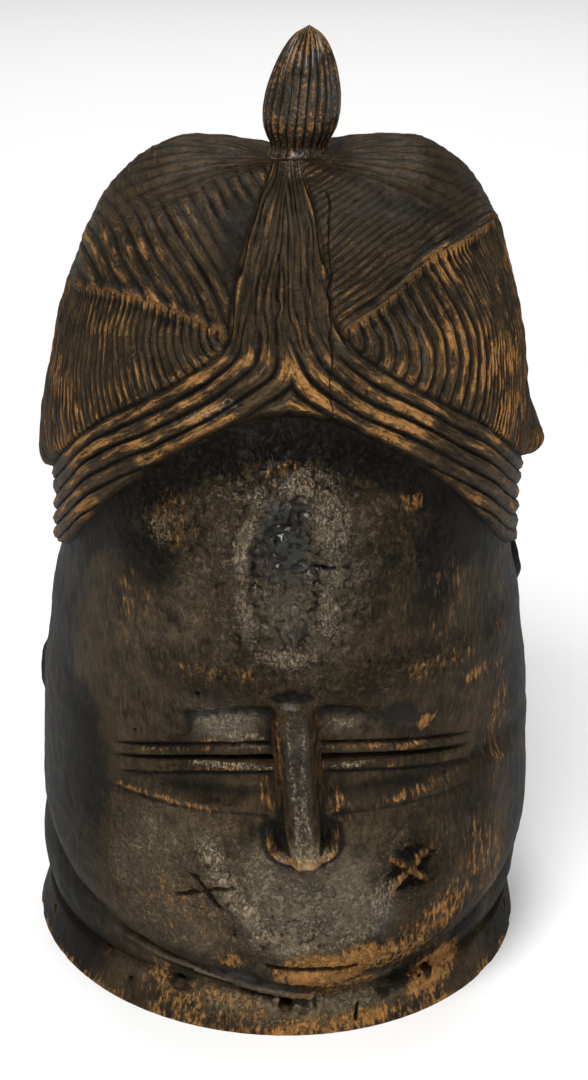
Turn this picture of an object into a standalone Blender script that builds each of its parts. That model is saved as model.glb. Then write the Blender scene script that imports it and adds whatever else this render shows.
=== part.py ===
"""A helmet mask carved from one block of wood, standing on its rim, facing -Y.

The head is drawn as a web of girth lines. Each girth line is an oval, and a table says how far it
reaches to the side, to the front and to the back, and how high it lies there. The carving is a depth
laid on that web along its normals: neck roll, jaw, eye sockets, lids, nose, lips, cheek marks, plaits
and locks. The web is then thinned to the faces that the carving needs, and the rim, the eye slits and
the tie holes are cut.
"""
import math

import bmesh
import bpy
import numpy as np
from mathutils import Matrix

# Whole form, in metres
HEIGHT = 0.392
HALF_WIDTH = 0.108
FRONT_REACH = 0.150
BACK_REACH = 0.120

# Rim, flange and neck
RIM_SIDE, RIM_FRONT, RIM_BACK = 0.107, 0.1286, 0.116
FLANGE_HEIGHT = 0.0165
FLARE_SIDE, FLARE_FRONT, FLARE_BACK = 0.006, 0.0095, 0.006
NECK_ROLL_RISE = 0.0056
NECK_OVERLAP, NECK_LEAST = 0.006, 0.004
JAW_ROUNDING = 0.018
JAW_FADE = 0.010

# Hollow
WALL = 0.0165
CROWN_THICKNESS = 0.055

# Cuts through the wall
SLIT_HEIGHT = 0.0024
SLIT_INNER = 0.0095
SLIT_LEFT_END, SLIT_RIGHT_END = 0.047, 0.058
SLIT_NEAR, SLIT_FAR, SLIT_STATIONS = 0.045, 0.180, 15
TIE_HOLE_DIAMETER = 0.0048

# Face carving
NOSE_RISE = 0.0125
NOSE_TOP_HALF_WIDTH, NOSE_TIP_HALF_WIDTH = 0.0047, 0.0030
NOSE_FOOT_HALF_WIDTH = 0.0096
NOSE_EDGE = 0.002
NOSTRIL_HALF_WIDTH, NOSTRIL_EDGE = 0.0150, 0.0030
NOSTRIL_BAR_LEVEL, NOSTRIL_BAR_HALF, NOSTRIL_BAR_ARCH = 0.0030, 0.0038, 0.0011
NOSTRIL_HOLLOW_LEVEL, NOSTRIL_HOLLOW_HALF = 0.005, 0.0120
SOCKET_DEPTH = 0.0042
SOCKET_LEFT_END, SOCKET_RIGHT_END = 0.047, 0.088
SOCKET_EDGE, SOCKET_FOOT_EDGE = 0.006, 0.010
SOCKET_LINE_DEPTH, SOCKET_LINE_WIDTH, SOCKET_LINE_END = 0.0010, 0.0018, 0.085
BROW_DROP, EYE_DROP, MOUTH_LIFT = 0.0373, 0.0204, 0.0350
UPPER_LID, LOWER_LID = 0.0053, 0.0066
LID_RISE = 0.0013
LID_END, LID_FADE = 0.078, 0.016
LID_LINE_DEPTH, LID_LINE_WIDTH = 0.0012, 0.0008
EYE_LINE_DEPTH, EYE_LINE_WIDTH = 0.0026, 0.0010
LIP_RISE = 0.0034
LIP_HALF_WIDTH = 0.0185
UPPER_LIP_ABOVE, UPPER_LIP_WIDTH = 0.0048, 0.0044
LOWER_LIP_BELOW, LOWER_LIP_WIDTH = 0.0062, 0.0064
MOUTH_LINE_WIDTH = 0.0013
CHEEK_MARK_DEPTH, CHEEK_MARK_WIDTH, CHEEK_MARK_FADE = 0.0016, 0.0012, 0.006
FOREHEAD_BOSS_RISE = 0.0028
FOREHEAD_BOSS_HALF_WIDTH, FOREHEAD_BOSS_HALF_HEIGHT = 0.030, 0.044
MUZZLE_RISE, MUZZLE_HALF_WIDTH, MUZZLE_HALF_HEIGHT = 0.0030, 0.040, 0.030
EAR_HALF_WIDTH, EAR_HALF_HEIGHT = 0.0085, 0.0145

# Hair carving
HAIR_STEP, HAIR_EDGE = 0.0028, 0.0022
PLAIT_EDGE, PLAIT_ROUNDING = 0.0014, 0.006
PLAIT_PITCH = 0.0056
PLAIT_DEPTH = 0.0024
LOCK_PITCH = 0.0110
LOCK_DEPTH = 0.0018
CROWN_INSET, CROWN_INSET_PITCH = 0.0280, 0.0046
PARTING_RISE, PARTING_WIDTH, PARTING_FADE = 0.0022, 0.0022, 0.004
LOBE_RISE = 0.0012
LOBE_TIP_LEFT, LOBE_TIP_RIGHT = 0.0055, 0.0105
LOBE_TIP_UP_LEFT, LOBE_TIP_UP_RIGHT, LOBE_TIP_DOWN = 0.030, 0.017, 0.016
LOBE_ROLL_LEFT, LOBE_ROLL_RIGHT = 0.007, 0.010
VALLEY_DEPTH, VALLEY_WIDTH = 0.0035, 0.024
KNOB_HALF_WIDTH = 0.0160
KNOB_FLUTE_DEPTH = 0.0009
KNOB_FLUTES = 24

# Wood
WOOD_COLOUR = (0.045, 0.033, 0.023, 1.0)
WOOD_ROUGHNESS = 0.55

# Web and thinning
COLUMNS = 600
BODY_ROWS = 470
KNOB_ROWS = 34
HOLLOW_ROWS = 40
RIM_ROWS = 4
MOST_FACES = 9400
RIM_TRIM = 0.001

# Girth lines: (share along the form, side reach, front reach, back reach, side height, front height).
# Reaches are shares of HALF_WIDTH, FRONT_REACH and BACK_REACH, and heights are shares of HEIGHT.
GIRTHS = np.array([
    (0.000, 0.990, 0.857, 1.000, 0.000, 0.000),
    (0.110, 0.985, 0.880, 0.965, 0.110, 0.110),
    (0.173, 0.990, 0.900, 0.950, 0.173, 0.173),
    (0.243, 0.984, 0.895, 0.960, 0.243, 0.250),
    (0.301, 0.975, 0.900, 0.970, 0.301, 0.315),
    (0.360, 0.950, 0.925, 0.985, 0.360, 0.375),
    (0.400, 0.932, 0.965, 0.995, 0.400, 0.420),
    (0.445, 0.896, 0.990, 1.000, 0.445, 0.465),
    (0.500, 0.882, 1.000, 1.000, 0.500, 0.520),
    (0.560, 0.888, 0.995, 1.000, 0.560, 0.575),
    (0.612, 0.893, 0.960, 0.985, 0.612, 0.620),
    (0.665, 0.878, 0.895, 0.950, 0.665, 0.670),
    (0.718, 0.842, 0.815, 0.895, 0.718, 0.722),
    (0.770, 0.785, 0.705, 0.800, 0.768, 0.768),
    (0.822, 0.705, 0.580, 0.670, 0.817, 0.810),
    (0.868, 0.585, 0.435, 0.510, 0.853, 0.836),
    (0.905, 0.440, 0.315, 0.380, 0.872, 0.851),
    (0.948, 0.280, 0.200, 0.245, 0.872, 0.862),
    (0.985, 0.128, 0.094, 0.117, 0.866, 0.866),
])
LAST_GIRTH = GIRTHS[-1, 0]
CROWN_HEIGHT = GIRTHS[-1, 5] * HEIGHT
FACE_OVAL, RIM_OVAL = 2.25, 2.0

# Set of the axis: (share of HEIGHT, metres to +X, degrees turned towards +X)
TO_ORIGIN = (0.0036, 0.0143)
SET = np.array([
    (0.00, -0.0085, 7.5), (0.10, -0.0065, 6.0), (0.22, -0.0047, 3.6), (0.40, -0.0039, 1.6),
    (0.55, -0.0030, 0.0), (0.70, -0.0017, 0.0), (0.85, 0.0012, 0.0), (1.00, 0.0062, 0.0),
])

# Knob: (share of its height, share of KNOB_HALF_WIDTH)
KNOB_PROFILE = np.array([
    (0.00, 0.84), (0.08, 0.74), (0.16, 0.86), (0.245, 0.96), (0.36, 1.00),
    (0.46, 0.98), (0.62, 0.87), (0.806, 0.64), (0.93, 0.36), (1.00, 0.00),
])

# Levels by turn from the front in degrees, as shares of HEIGHT
HAIRLINE = np.array([
    (0, 0.681), (5, 0.678), (9, 0.671), (13, 0.659), (18, 0.641), (23, 0.619), (28, 0.595), (33, 0.569),
    (40, 0.537), (47, 0.510), (55, 0.488), (65, 0.471), (75, 0.461), (90, 0.453), (120, 0.440), (180, 0.432),
])
LOBE_EDGE = np.array([
    (0, 0.765), (8, 0.742), (12, 0.727), (16, 0.714), (22, 0.694), (30, 0.668), (37, 0.645), (48, 0.606),
    (60, 0.575), (75, 0.549), (90, 0.530), (120, 0.516), (180, 0.505),
])
PARTING_LEFT = np.array([(0, 0.738), (12, 0.744), (21, 0.754), (36, 0.762), (62, 0.750), (90, 0.735)])
PARTING_RIGHT = np.array([(0, 0.728), (8, 0.743), (18, 0.764), (35, 0.798), (69, 0.807), (90, 0.800)])
PARTING_HALF = np.array([(0.70, 0.0215), (0.763, 0.0186), (0.79, 0.0173), (0.82, 0.0145), (0.847, 0.0108),
                         (0.866, 0.0060)])
LOBE_EDGE_TILT = 0.0075
LOBE_TIP_LEVEL = 0.549
HAIR_CENTRE = -0.0045
FORK_CENTRE = 0.0010
JAW_FRONT, JAW_SIDE = 0.044, 0.142
BROW_LEVEL, SOCKET_FOOT = 0.394, 0.263
EYE_LEVEL = 0.324
NOSE_FOOT = 0.214
MOUTH_LEVEL = 0.088
FOREHEAD_BOSS_LEVEL, MUZZLE_LEVEL = 0.520, 0.150
LOBE_CORNER_LEVEL = 0.744

# Cheek marks: (metres across, share of HEIGHT, then half length and degrees of tilt of each of two strokes)
CHEEK_MARKS = ((-0.040, 0.174, 0.0150, 18, 0.0115, -58), (0.043, 0.190, 0.0190, -40, 0.0160, 40))

# Ears: (degrees round from the front, share of HEIGHT, rise)
EARS = ((92, 0.410, 0.0032), (-96, 0.280, 0.0022))

# Tie holes: (degrees round from the front, height)
TIE_HOLES = ((-76, 0.0100), (-48, 0.0150), (-39, 0.0090), (-27, 0.0150), (-5, 0.0100), (26, 0.0130),
             (65, 0.0110), (105, 0.0110), (143, 0.0110), (180, 0.0110), (-143, 0.0110), (-108, 0.0110))


def step(low, high, x):
    """0 below low, 1 above high, and a smooth climb between."""
    t = np.clip((x - low) / (high - low), 0.0, 1.0)
    return t * t * (3.0 - 2.0 * t)


def bell(x, width):
    """1 at x = 0, falling away on both sides over about the width."""
    return np.exp(-((x / width) ** 2))


def through(points, x, column=1):
    """A smooth curve through the points, with no overshoot: cubic pieces with slopes limited at each knot."""
    known, value = points[:, 0], points[:, column]
    run = np.diff(known)
    slope = np.diff(value) / run
    tangent = np.empty_like(value)
    tangent[0], tangent[-1] = slope[0], slope[-1]
    same_way = slope[:-1] * slope[1:] > 0
    mean = 2.0 * slope[:-1] * slope[1:] / np.where(same_way, slope[:-1] + slope[1:], 1.0)
    tangent[1:-1] = np.where(same_way, mean, 0.0)
    x = np.clip(x, known[0], known[-1])
    i = np.clip(np.searchsorted(known, x, side="right") - 1, 0, len(run) - 1)
    t = (x - known[i]) / run[i]
    return ((1 + 2 * t) * (1 - t) ** 2 * value[i] + t * (1 - t) ** 2 * run[i] * tangent[i]
            + t * t * (3 - 2 * t) * value[i + 1] + t * t * (t - 1) * run[i] * tangent[i + 1])


def oval(turn, side, front, back, power):
    """Reach of an oval with its own half-axes to the side, the front and the back, at a turn from the front."""
    ahead = np.where(np.cos(turn) > 0, front, back)
    across, along = np.abs(np.sin(turn)) / side, np.abs(np.cos(turn)) / ahead
    return (across ** power + along ** power) ** (-1.0 / power)


def crest(phase, sharpness=0.7):
    """1 on each whole phase and 0 half way between, round on top and narrow at the foot."""
    return np.abs(np.cos(math.pi * phase)) ** sharpness


def greater(a, b, rounding):
    """The larger of two lengths, with the corner between them rounded."""
    return 0.5 * (a + b + np.sqrt((a - b) ** 2 + rounding ** 2))


def jaw_level(turn):
    """Height of the lower edge of the face: lowest under the chin, level from the ears back."""
    lift = np.clip(2.0 * np.sin(0.5 * turn) ** 2, 0.0, 1.0) ** 0.55
    return HEIGHT * (JAW_FRONT + (JAW_SIDE - JAW_FRONT) * lift)


def plain_form(turn, share):
    """The uncarved head: reach and height of each girth line round the axis."""
    reach = oval(turn, HALF_WIDTH * through(GIRTHS, share, 1), FRONT_REACH * through(GIRTHS, share, 2),
                 BACK_REACH * through(GIRTHS, share, 3), FACE_OVAL)
    side_height = HEIGHT * through(GIRTHS, share, 4)
    front_height = HEIGHT * through(GIRTHS, share, 5)
    height = side_height + (front_height - side_height) * np.cos(turn) ** 2
    return reach, height


def neck_form(turn, height):
    """Reach of the flange, flared down to the rim, and of the neck roll between it and the jaw."""
    rim = oval(turn, RIM_SIDE, RIM_FRONT, RIM_BACK, RIM_OVAL)
    waist = oval(turn, RIM_SIDE - FLARE_SIDE, RIM_FRONT - FLARE_FRONT, RIM_BACK - FLARE_BACK, RIM_OVAL)
    jaw = jaw_level(turn)
    down = 1.0 - np.clip(height / FLANGE_HEIGHT, 0.0, 1.0)
    flange = waist + (rim - waist) * (0.25 * step(0.0, 0.12, down) + 0.75 * down ** 0.9)
    span = np.maximum(jaw + NECK_OVERLAP - FLANGE_HEIGHT, NECK_LEAST)
    roll = np.clip((height - FLANGE_HEIGHT) / span, 0.0, 1.0)
    rise = NECK_ROLL_RISE * (0.45 + 0.55 * np.sin(turn) ** 2)
    return np.where(height > FLANGE_HEIGHT, waist + rise * np.sin(math.pi * roll) ** 0.7, flange)


def face_carving(x, z, turn):
    """Depth of the carving on the face, outwards, from places across and up it."""
    wide = np.abs(x)
    front = step(-0.15, 0.15, np.cos(turn))
    out = (x / HALF_WIDTH) ** 2
    eye = EYE_LEVEL * HEIGHT - EYE_DROP * out
    brow = BROW_LEVEL * HEIGHT - BROW_DROP * out
    foot = SOCKET_FOOT * HEIGHT
    end = np.where(x < 0, SOCKET_LEFT_END, SOCKET_RIGHT_END)
    socket = (step(0.0, SOCKET_EDGE, brow - z) * step(0.0, SOCKET_FOOT_EDGE, z - foot)
              * step(0.0, SOCKET_EDGE * (1 + (x > 0)), end - wide))
    depth = -SOCKET_DEPTH * socket * step(0.0, 2.0 * SOCKET_EDGE, wide - 0.3 * NOSE_TOP_HALF_WIDTH)
    line = bell(z - foot, SOCKET_LINE_WIDTH) * step(0.0, LID_FADE, SOCKET_LINE_END - wide)
    depth -= SOCKET_LINE_DEPTH * line * step(0.0, 2.0 * NOSE_EDGE, wide - NOSE_FOOT_HALF_WIDTH)

    within = step(0.0, LID_FADE, LID_END - wide) * step(0.0, NOSE_EDGE, wide - SLIT_INNER)
    above = (z - eye) / UPPER_LID
    below = (eye - z) / LOWER_LID
    upper = np.sqrt(np.clip(1 - (2 * above - 1) ** 2, 0, 1))
    lower = np.sqrt(np.clip(1 - (2 * below - 1) ** 2, 0, 1))
    depth += LID_RISE * within * (upper + 0.8 * lower)
    lid_lines = bell(z - eye - UPPER_LID, LID_LINE_WIDTH) + 0.6 * bell(z - eye + LOWER_LID, LID_LINE_WIDTH)
    depth -= within * (LID_LINE_DEPTH * lid_lines + EYE_LINE_DEPTH * bell(z - eye, EYE_LINE_WIDTH))

    boss = np.hypot(x / FOREHEAD_BOSS_HALF_WIDTH,
                    (z - FOREHEAD_BOSS_LEVEL * HEIGHT) / FOREHEAD_BOSS_HALF_HEIGHT)
    depth += FOREHEAD_BOSS_RISE * step(0.0, 0.9, 1 - boss)
    muzzle = np.hypot(x / MUZZLE_HALF_WIDTH, (z - MUZZLE_LEVEL * HEIGHT) / MUZZLE_HALF_HEIGHT)
    depth += MUZZLE_RISE * bell(muzzle, 1.0)

    nose_top = (BROW_LEVEL + 0.003) * HEIGHT
    nose_foot = NOSE_FOOT * HEIGHT
    down = np.clip((nose_top - z) / (nose_top - nose_foot), 0.0, 1.0)
    along = step(-NOSE_EDGE, NOSE_EDGE, nose_top - z) * step(0.0, NOSE_EDGE, z - nose_foot)
    flat = NOSE_TOP_HALF_WIDTH + (NOSE_TIP_HALF_WIDTH - NOSE_TOP_HALF_WIDTH) * down
    ridge = 1.0 - np.clip((wide - flat) / (NOSE_FOOT_HALF_WIDTH - flat), 0.0, 1.0)
    nose = (0.42 + 0.58 * down ** 1.2) * NOSE_RISE * step(0.0, 1.0, ridge)
    outward = np.clip(wide / NOSTRIL_HALF_WIDTH, 0, 1)
    bar_level = nose_foot + NOSTRIL_BAR_LEVEL + 4.0 * NOSTRIL_BAR_ARCH * outward * (1 - outward)
    bar = (step(0.0, NOSE_EDGE, NOSTRIL_BAR_HALF - np.abs(z - bar_level))
           * step(0.0, NOSTRIL_EDGE, NOSTRIL_HALF_WIDTH - wide))
    wing = 0.66 * NOSE_RISE * (1.15 - 0.5 * outward ** 2) * bar
    hollow = (0.30 * NOSE_RISE * step(0.0, NOSTRIL_EDGE, NOSTRIL_HALF_WIDTH - NOSE_EDGE - wide)
              * step(0.0, 2.0 * NOSE_EDGE, NOSTRIL_HOLLOW_HALF - np.abs(z - nose_foot - NOSTRIL_HOLLOW_LEVEL)))
    depth += np.maximum(np.maximum(nose, wing), hollow) * along

    lip = z - MOUTH_LEVEL * HEIGHT - MOUTH_LIFT * out
    span = np.sqrt(np.clip(1 - (x / LIP_HALF_WIDTH) ** 2, 0.0, 1.0))
    lips = 0.8 * bell(lip - UPPER_LIP_ABOVE, UPPER_LIP_WIDTH)
    lips += 1.1 * bell(lip + LOWER_LIP_BELOW, LOWER_LIP_WIDTH)
    depth += LIP_RISE * span * lips
    depth -= 0.8 * LIP_RISE * span ** 0.5 * bell(lip, MOUTH_LINE_WIDTH)

    for mark_x, level, first_half, first_tilt, second_half, second_tilt in CHEEK_MARKS:
        for half, tilt in ((first_half, first_tilt), (second_half, second_tilt)):
            c, s = math.cos(math.radians(tilt)), math.sin(math.radians(tilt))
            dx, dz = x - mark_x, z - level * HEIGHT
            length, width = c * dx + s * dz, c * dz - s * dx
            stroke = bell(width, CHEEK_MARK_WIDTH) * step(0.0, CHEEK_MARK_FADE, half - np.abs(length))
            depth -= CHEEK_MARK_DEPTH * stroke
    depth = depth * front
    for degrees, level, rise in EARS:
        along = (turn - math.radians(degrees)) * HALF_WIDTH
        ear = np.hypot(along / EAR_HALF_WIDTH, (z - level * HEIGHT) / EAR_HALF_HEIGHT)
        depth = depth + rise * step(0.0, 0.6, 1.0 - ear)
    return depth


def hair_carving(x, y, z, turn):
    """Depth of the plaits, partings and locks, and how much of each point is hair."""
    degrees = np.degrees(np.abs(turn))
    hairline = HEIGHT * through(HAIRLINE, degrees)
    side_on = bell((degrees - 90.0) / 36.0, 1.0)
    edge = HEIGHT * (through(LOBE_EDGE, degrees) + LOBE_EDGE_TILT * np.sign(x) * side_on)
    hair = step(0.0, HAIR_EDGE, z - hairline)
    centre = FORK_CENTRE + (HAIR_CENTRE - FORK_CENTRE) * step(0.70, 0.77, z / HEIGHT)
    across = x - centre
    band = through(PARTING_HALF, z / HEIGHT)
    from_side = (band - np.abs(across)) * (PARTING_HALF[1, 1] / band) ** 0.6
    into = greater(from_side, 0.84 * (edge - z), PLAIT_ROUNDING)
    plaited = step(-0.5 * PLAIT_EDGE, PLAIT_EDGE, into)
    plaits = PLAIT_DEPTH * (crest(into / PLAIT_PITCH - 0.5) - 0.5)

    right = x > centre
    folded = np.where(degrees < 90, degrees, 180 - degrees)
    parting = HEIGHT * np.where(right, through(PARTING_RIGHT, folded), through(PARTING_LEFT, folded))
    above = step(-0.5 * PARTING_WIDTH, 0.5 * PARTING_WIDTH, z - parting)
    corner_y = np.where(np.cos(turn) > 0, -0.76 * FRONT_REACH, 0.86 * BACK_REACH)
    radius = np.sqrt((np.abs(across) - PARTING_HALF[0, 1]) ** 2 + (y - corner_y) ** 2
                     + (z - LOBE_CORNER_LEVEL * HEIGHT) ** 2)
    below_phase = radius / LOCK_PITCH
    rise = 0.94 * z - 0.34 * np.abs(y)
    above_phase = np.where(right, -0.60 * x + 0.80 * rise, 0.87 * x + 0.50 * rise) / LOCK_PITCH
    locks = LOCK_DEPTH * (crest(below_phase) * (1 - above) + crest(above_phase) * above - 0.5)
    locks = locks * (1.0 - step(100.0, 130.0, degrees))
    ridge = (PARTING_RISE * bell(z - parting, PARTING_WIDTH) * step(0.0, PARTING_FADE, np.abs(across) - band)
             * step(0.0, 25.0, 78.0 - folded))
    up_tip = z - LOBE_TIP_LEVEL * HEIGHT
    reach_up = np.where(up_tip < 0, LOBE_TIP_DOWN, np.where(right, LOBE_TIP_UP_RIGHT, LOBE_TIP_UP_LEFT))
    roll = np.clip((z - edge) / np.where(right, LOBE_ROLL_RIGHT, LOBE_ROLL_LEFT), 0.0, 1.0)
    flare = np.where(right, LOBE_TIP_RIGHT, LOBE_TIP_LEFT) * side_on * bell(up_tip / reach_up, 1.0)
    lobe = LOBE_RISE + flare * np.sqrt(1.0 - (1.0 - roll) ** 2) + locks + ridge
    valley = -VALLEY_DEPTH * bell(across, VALLEY_WIDTH) * step(0.70, 0.75, z / HEIGHT)
    inset = crest((x - FORK_CENTRE) / CROWN_INSET_PITCH) * step(0.0, PLAIT_EDGE, into - CROWN_INSET)
    plaits = np.where(into > CROWN_INSET, 0.4 * PLAIT_DEPTH * inset, plaits)
    depth = HAIR_STEP + plaited * plaits + (1 - plaited) * lobe + valley
    return depth, hair


def grid_normals(x, y, z):
    """Unit normals of a web of rows and columns whose columns close on themselves."""
    def around(a):
        return np.roll(a, -1, axis=1) - np.roll(a, 1, axis=1)

    def up(a):
        return np.gradient(a, axis=0)
    ax, ay, az, bx, by, bz = around(x), around(y), around(z), up(x), up(y), up(z)
    n = np.stack([ay * bz - az * by, az * bx - ax * bz, ax * by - ay * bx])
    return n / np.maximum(np.linalg.norm(n, axis=0), 1e-12)


def set_on_axis(rings):
    """The same points turned and moved aside with their height, and the whole put on its origin."""
    share = rings[..., 2] / HEIGHT
    aside = through(SET, share, 1) + TO_ORIGIN[0]
    turn = np.radians(through(SET, share, 2))
    x, y = rings[..., 0], rings[..., 1]
    turned_x = x * np.cos(turn) - y * np.sin(turn)
    turned_y = x * np.sin(turn) + y * np.cos(turn)
    return np.stack([turned_x + aside, turned_y + TO_ORIGIN[1], rings[..., 2]], axis=-1)


def body_web(columns, rows):
    """The carved outside, from the rim up to the foot of the knob, as rows of points."""
    turn, share = np.meshgrid(np.linspace(-math.pi, math.pi, columns, endpoint=False),
                              np.linspace(0.0, LAST_GIRTH, rows))
    reach, z = plain_form(turn, share)
    jaw = jaw_level(turn)
    under = np.clip((z - jaw) / JAW_ROUNDING, 0.0, 1.0)
    neck = neck_form(turn, z)
    reach = np.where(z < jaw, neck, neck + (reach - neck) * np.sqrt(1.0 - (1.0 - under) ** 2))
    x, y = reach * np.sin(turn), -reach * np.cos(turn)
    normal = grid_normals(x, y, z)
    hair_depth, hair = hair_carving(x, y, z, turn)
    face_depth = face_carving(x, z, turn) * step(0.0, JAW_FADE, z - jaw)
    depth = hair * hair_depth + (1.0 - hair) * face_depth
    depth *= step(0.0, 0.02, LAST_GIRTH - share)
    x, y, z = np.stack([x, y, z]) + normal * depth
    z[0] = -RIM_TRIM
    return np.stack([x, y, z], axis=-1)


def knob_web(columns, rows, foot):
    """The bud on the crown, fluted, growing from the last girth line."""
    turn = np.linspace(-math.pi, math.pi, columns, endpoint=False)
    share = np.linspace(0.0, 1.0, rows + 1)[1:, None]
    reach = KNOB_HALF_WIDTH * through(KNOB_PROFILE, share)
    flute = KNOB_FLUTE_DEPTH * (crest(KNOB_FLUTES * turn / (2 * math.pi)) - 1.0)
    reach = np.maximum(reach + flute * step(0.0, 0.15, share) * step(0.0, 0.08, 1.0 - share), 0.0)
    level = foot[:, 2] + (HEIGHT - foot[:, 2]) * share
    return np.stack([reach * np.sin(turn), -reach * np.cos(turn), level], axis=-1)


def hollow_web(columns, rows):
    """The cavity for the head, from its domed ceiling down to the rim: girth lines drawn in by the wall."""
    turn, share = np.meshgrid(np.linspace(-math.pi, math.pi, columns, endpoint=False),
                              np.linspace(LAST_GIRTH, 0.0, rows))
    reach = oval(turn, HALF_WIDTH * through(GIRTHS, share, 1), FRONT_REACH * through(GIRTHS, share, 2),
                 BACK_REACH * through(GIRTHS, share, 3), RIM_OVAL) * (1.0 - WALL / HALF_WIDTH)
    level = plain_form(turn, share)[1] * (CROWN_HEIGHT - CROWN_THICKNESS) / CROWN_HEIGHT
    level[-1] = -RIM_TRIM
    return np.stack([reach * np.sin(turn), -reach * np.cos(turn), level], axis=-1)


def closed_mesh(name, rings, first, last):
    """A closed mesh from rings of points in order, with a point at each end."""
    rows, columns, _ = rings.shape
    points = np.concatenate([rings.reshape(-1, 3), [first, last]])
    here = np.arange(rows * columns).reshape(rows, columns)
    beside = np.roll(here, -1, axis=1)
    quads = np.stack([here[:-1], beside[:-1], beside[1:], here[1:]], axis=-1).reshape(-1, 4)
    start = [(len(points) - 2, b, a) for a, b in zip(here[0], beside[0])]
    end = [(len(points) - 1, a, b) for a, b in zip(here[-1], beside[-1])]
    mesh = bpy.data.meshes.new(name)
    mesh.from_pydata(points.tolist(), [], quads.tolist() + start + end)
    mesh.validate()
    return mesh


def carved_web():
    """The whole skin in one run: hollow from its ceiling, rim, outside, knob."""
    hollow = hollow_web(COLUMNS, HOLLOW_ROWS)
    body = body_web(COLUMNS, BODY_ROWS)
    across_rim = np.linspace(0.0, 1.0, RIM_ROWS + 2)[1:-1, None, None]
    rim = hollow[-1] + (body[0] - hollow[-1]) * across_rim
    knob = knob_web(COLUMNS, KNOB_ROWS, body[-1])
    rings = set_on_axis(np.concatenate([hollow, rim, body, knob[:-1]]))
    ends = set_on_axis(np.array([(0.0, 0.0, CROWN_HEIGHT - CROWN_THICKNESS), (0.0, 0.0, HEIGHT)]))
    return closed_mesh("mask", rings, ends[0], ends[1])


def set_mesh(name, mesh):
    """Mesh data from a worked mesh whose corners are moved as the axis is set."""
    bmesh.ops.recalc_face_normals(mesh, faces=mesh.faces)
    placed = set_on_axis(np.array([v.co[:] for v in mesh.verts]))
    for v, co in zip(mesh.verts, placed):
        v.co = co
    data = bpy.data.meshes.new(name)
    mesh.to_mesh(data)
    mesh.free()
    return data


def cutter(name, mesh):
    """A helper that cuts the mask and isn't part of it."""
    tool = bpy.data.objects.new(name, set_mesh(name, mesh))
    bpy.context.scene.collection.objects.link(tool)
    tool.hide_render = True
    tool.display_type = "WIRE"
    return tool


def slit_cutter():
    """Both eye slits: bars that follow the eye line, thin at their outer ends, right through the wall."""
    mesh = bmesh.new()
    for side, outer in ((-1, SLIT_LEFT_END), (1, SLIT_RIGHT_END)):
        rings = []
        for share in np.linspace(0.0, 1.0, SLIT_STATIONS):
            wide = SLIT_INNER + (outer - SLIT_INNER) * share
            half = 0.5 * SLIT_HEIGHT * (1.0 - 0.85 * share ** 3)
            level = EYE_LEVEL * HEIGHT - EYE_DROP * (wide / HALF_WIDTH) ** 2
            corners = ((-SLIT_FAR, -half), (-SLIT_FAR, half), (-SLIT_NEAR, half), (-SLIT_NEAR, -half))
            rings.append([mesh.verts.new((side * wide, y, level + dz)) for y, dz in corners])
        for a, b in zip(rings[:-1], rings[1:]):
            for k in range(4):
                mesh.faces.new((a[k], a[(k + 1) % 4], b[(k + 1) % 4], b[k]))
        mesh.faces.new(rings[0])
        mesh.faces.new(rings[-1])
    return cutter("slit_cutter", mesh)


def hole_cutter():
    """The tie holes through the flange, each along its own radius."""
    mesh = bmesh.new()
    for degrees, level in TIE_HOLES:
        turn = math.radians(degrees)
        reach = float(neck_form(np.array(turn), np.array(level)))
        made = bmesh.ops.create_cone(mesh, cap_ends=True, segments=10, radius1=0.5 * TIE_HOLE_DIAMETER,
                                     radius2=0.5 * TIE_HOLE_DIAMETER, depth=6.0 * WALL)
        outward = Matrix.Rotation(turn, 3, "Z") @ Matrix.Rotation(0.5 * math.pi, 3, "X")
        bmesh.ops.rotate(mesh, verts=made["verts"], matrix=outward)
        bmesh.ops.translate(mesh, verts=made["verts"],
                            vec=(reach * math.sin(turn), -reach * math.cos(turn), level))
    return cutter("hole_cutter", mesh)


def rim_cutter():
    """A slab below the rim, which leaves it flat at height 0."""
    mesh = bmesh.new()
    bmesh.ops.create_cube(mesh, size=1.0)
    bmesh.ops.scale(mesh, vec=(4.0 * HALF_WIDTH, 4.0 * FRONT_REACH, 20.0 * RIM_TRIM), verts=mesh.verts)
    bmesh.ops.translate(mesh, vec=(0.0, 0.0, -10.0 * RIM_TRIM), verts=mesh.verts)
    return cutter("rim_cutter", mesh)


def wood():
    material = bpy.data.materials.new("blackened_wood")
    material.use_nodes = True
    shader = material.node_tree.nodes["Principled BSDF"]
    shader.inputs["Base Color"].default_value = WOOD_COLOUR
    shader.inputs["Roughness"].default_value = WOOD_ROUGHNESS
    shader.inputs["Metallic"].default_value = 0.0
    return material


def main():
    for old in list(bpy.data.objects):
        bpy.data.objects.remove(old)
    mask = bpy.data.objects.new("mask", carved_web())
    bpy.context.scene.collection.objects.link(mask)
    mask.data.materials.append(wood())
    mask.data.shade_smooth()
    thinned = mask.modifiers.new("thinned", "DECIMATE")
    thinned.decimate_type = "COLLAPSE"
    thinned.ratio = MOST_FACES / (2.0 * len(mask.data.polygons))
    for tool in (rim_cutter(), slit_cutter(), hole_cutter()):
        cut = mask.modifiers.new(tool.name, "BOOLEAN")
        cut.operation = "DIFFERENCE"
        cut.solver = "EXACT"
        cut.object = tool


main()
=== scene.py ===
"""The finish of a carved helmet mask: its fine carving, cracks, worn ridges, crackled patina and gloss.

The skin of the mask is one closed surface. It is a web of girth lines round an upright axis, and the
carving is a depth laid on that web along its normals. Every place on the web also gets values for the
finish, such as how far the colour is rubbed off there, and the material reads those.
"""
import math

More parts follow.
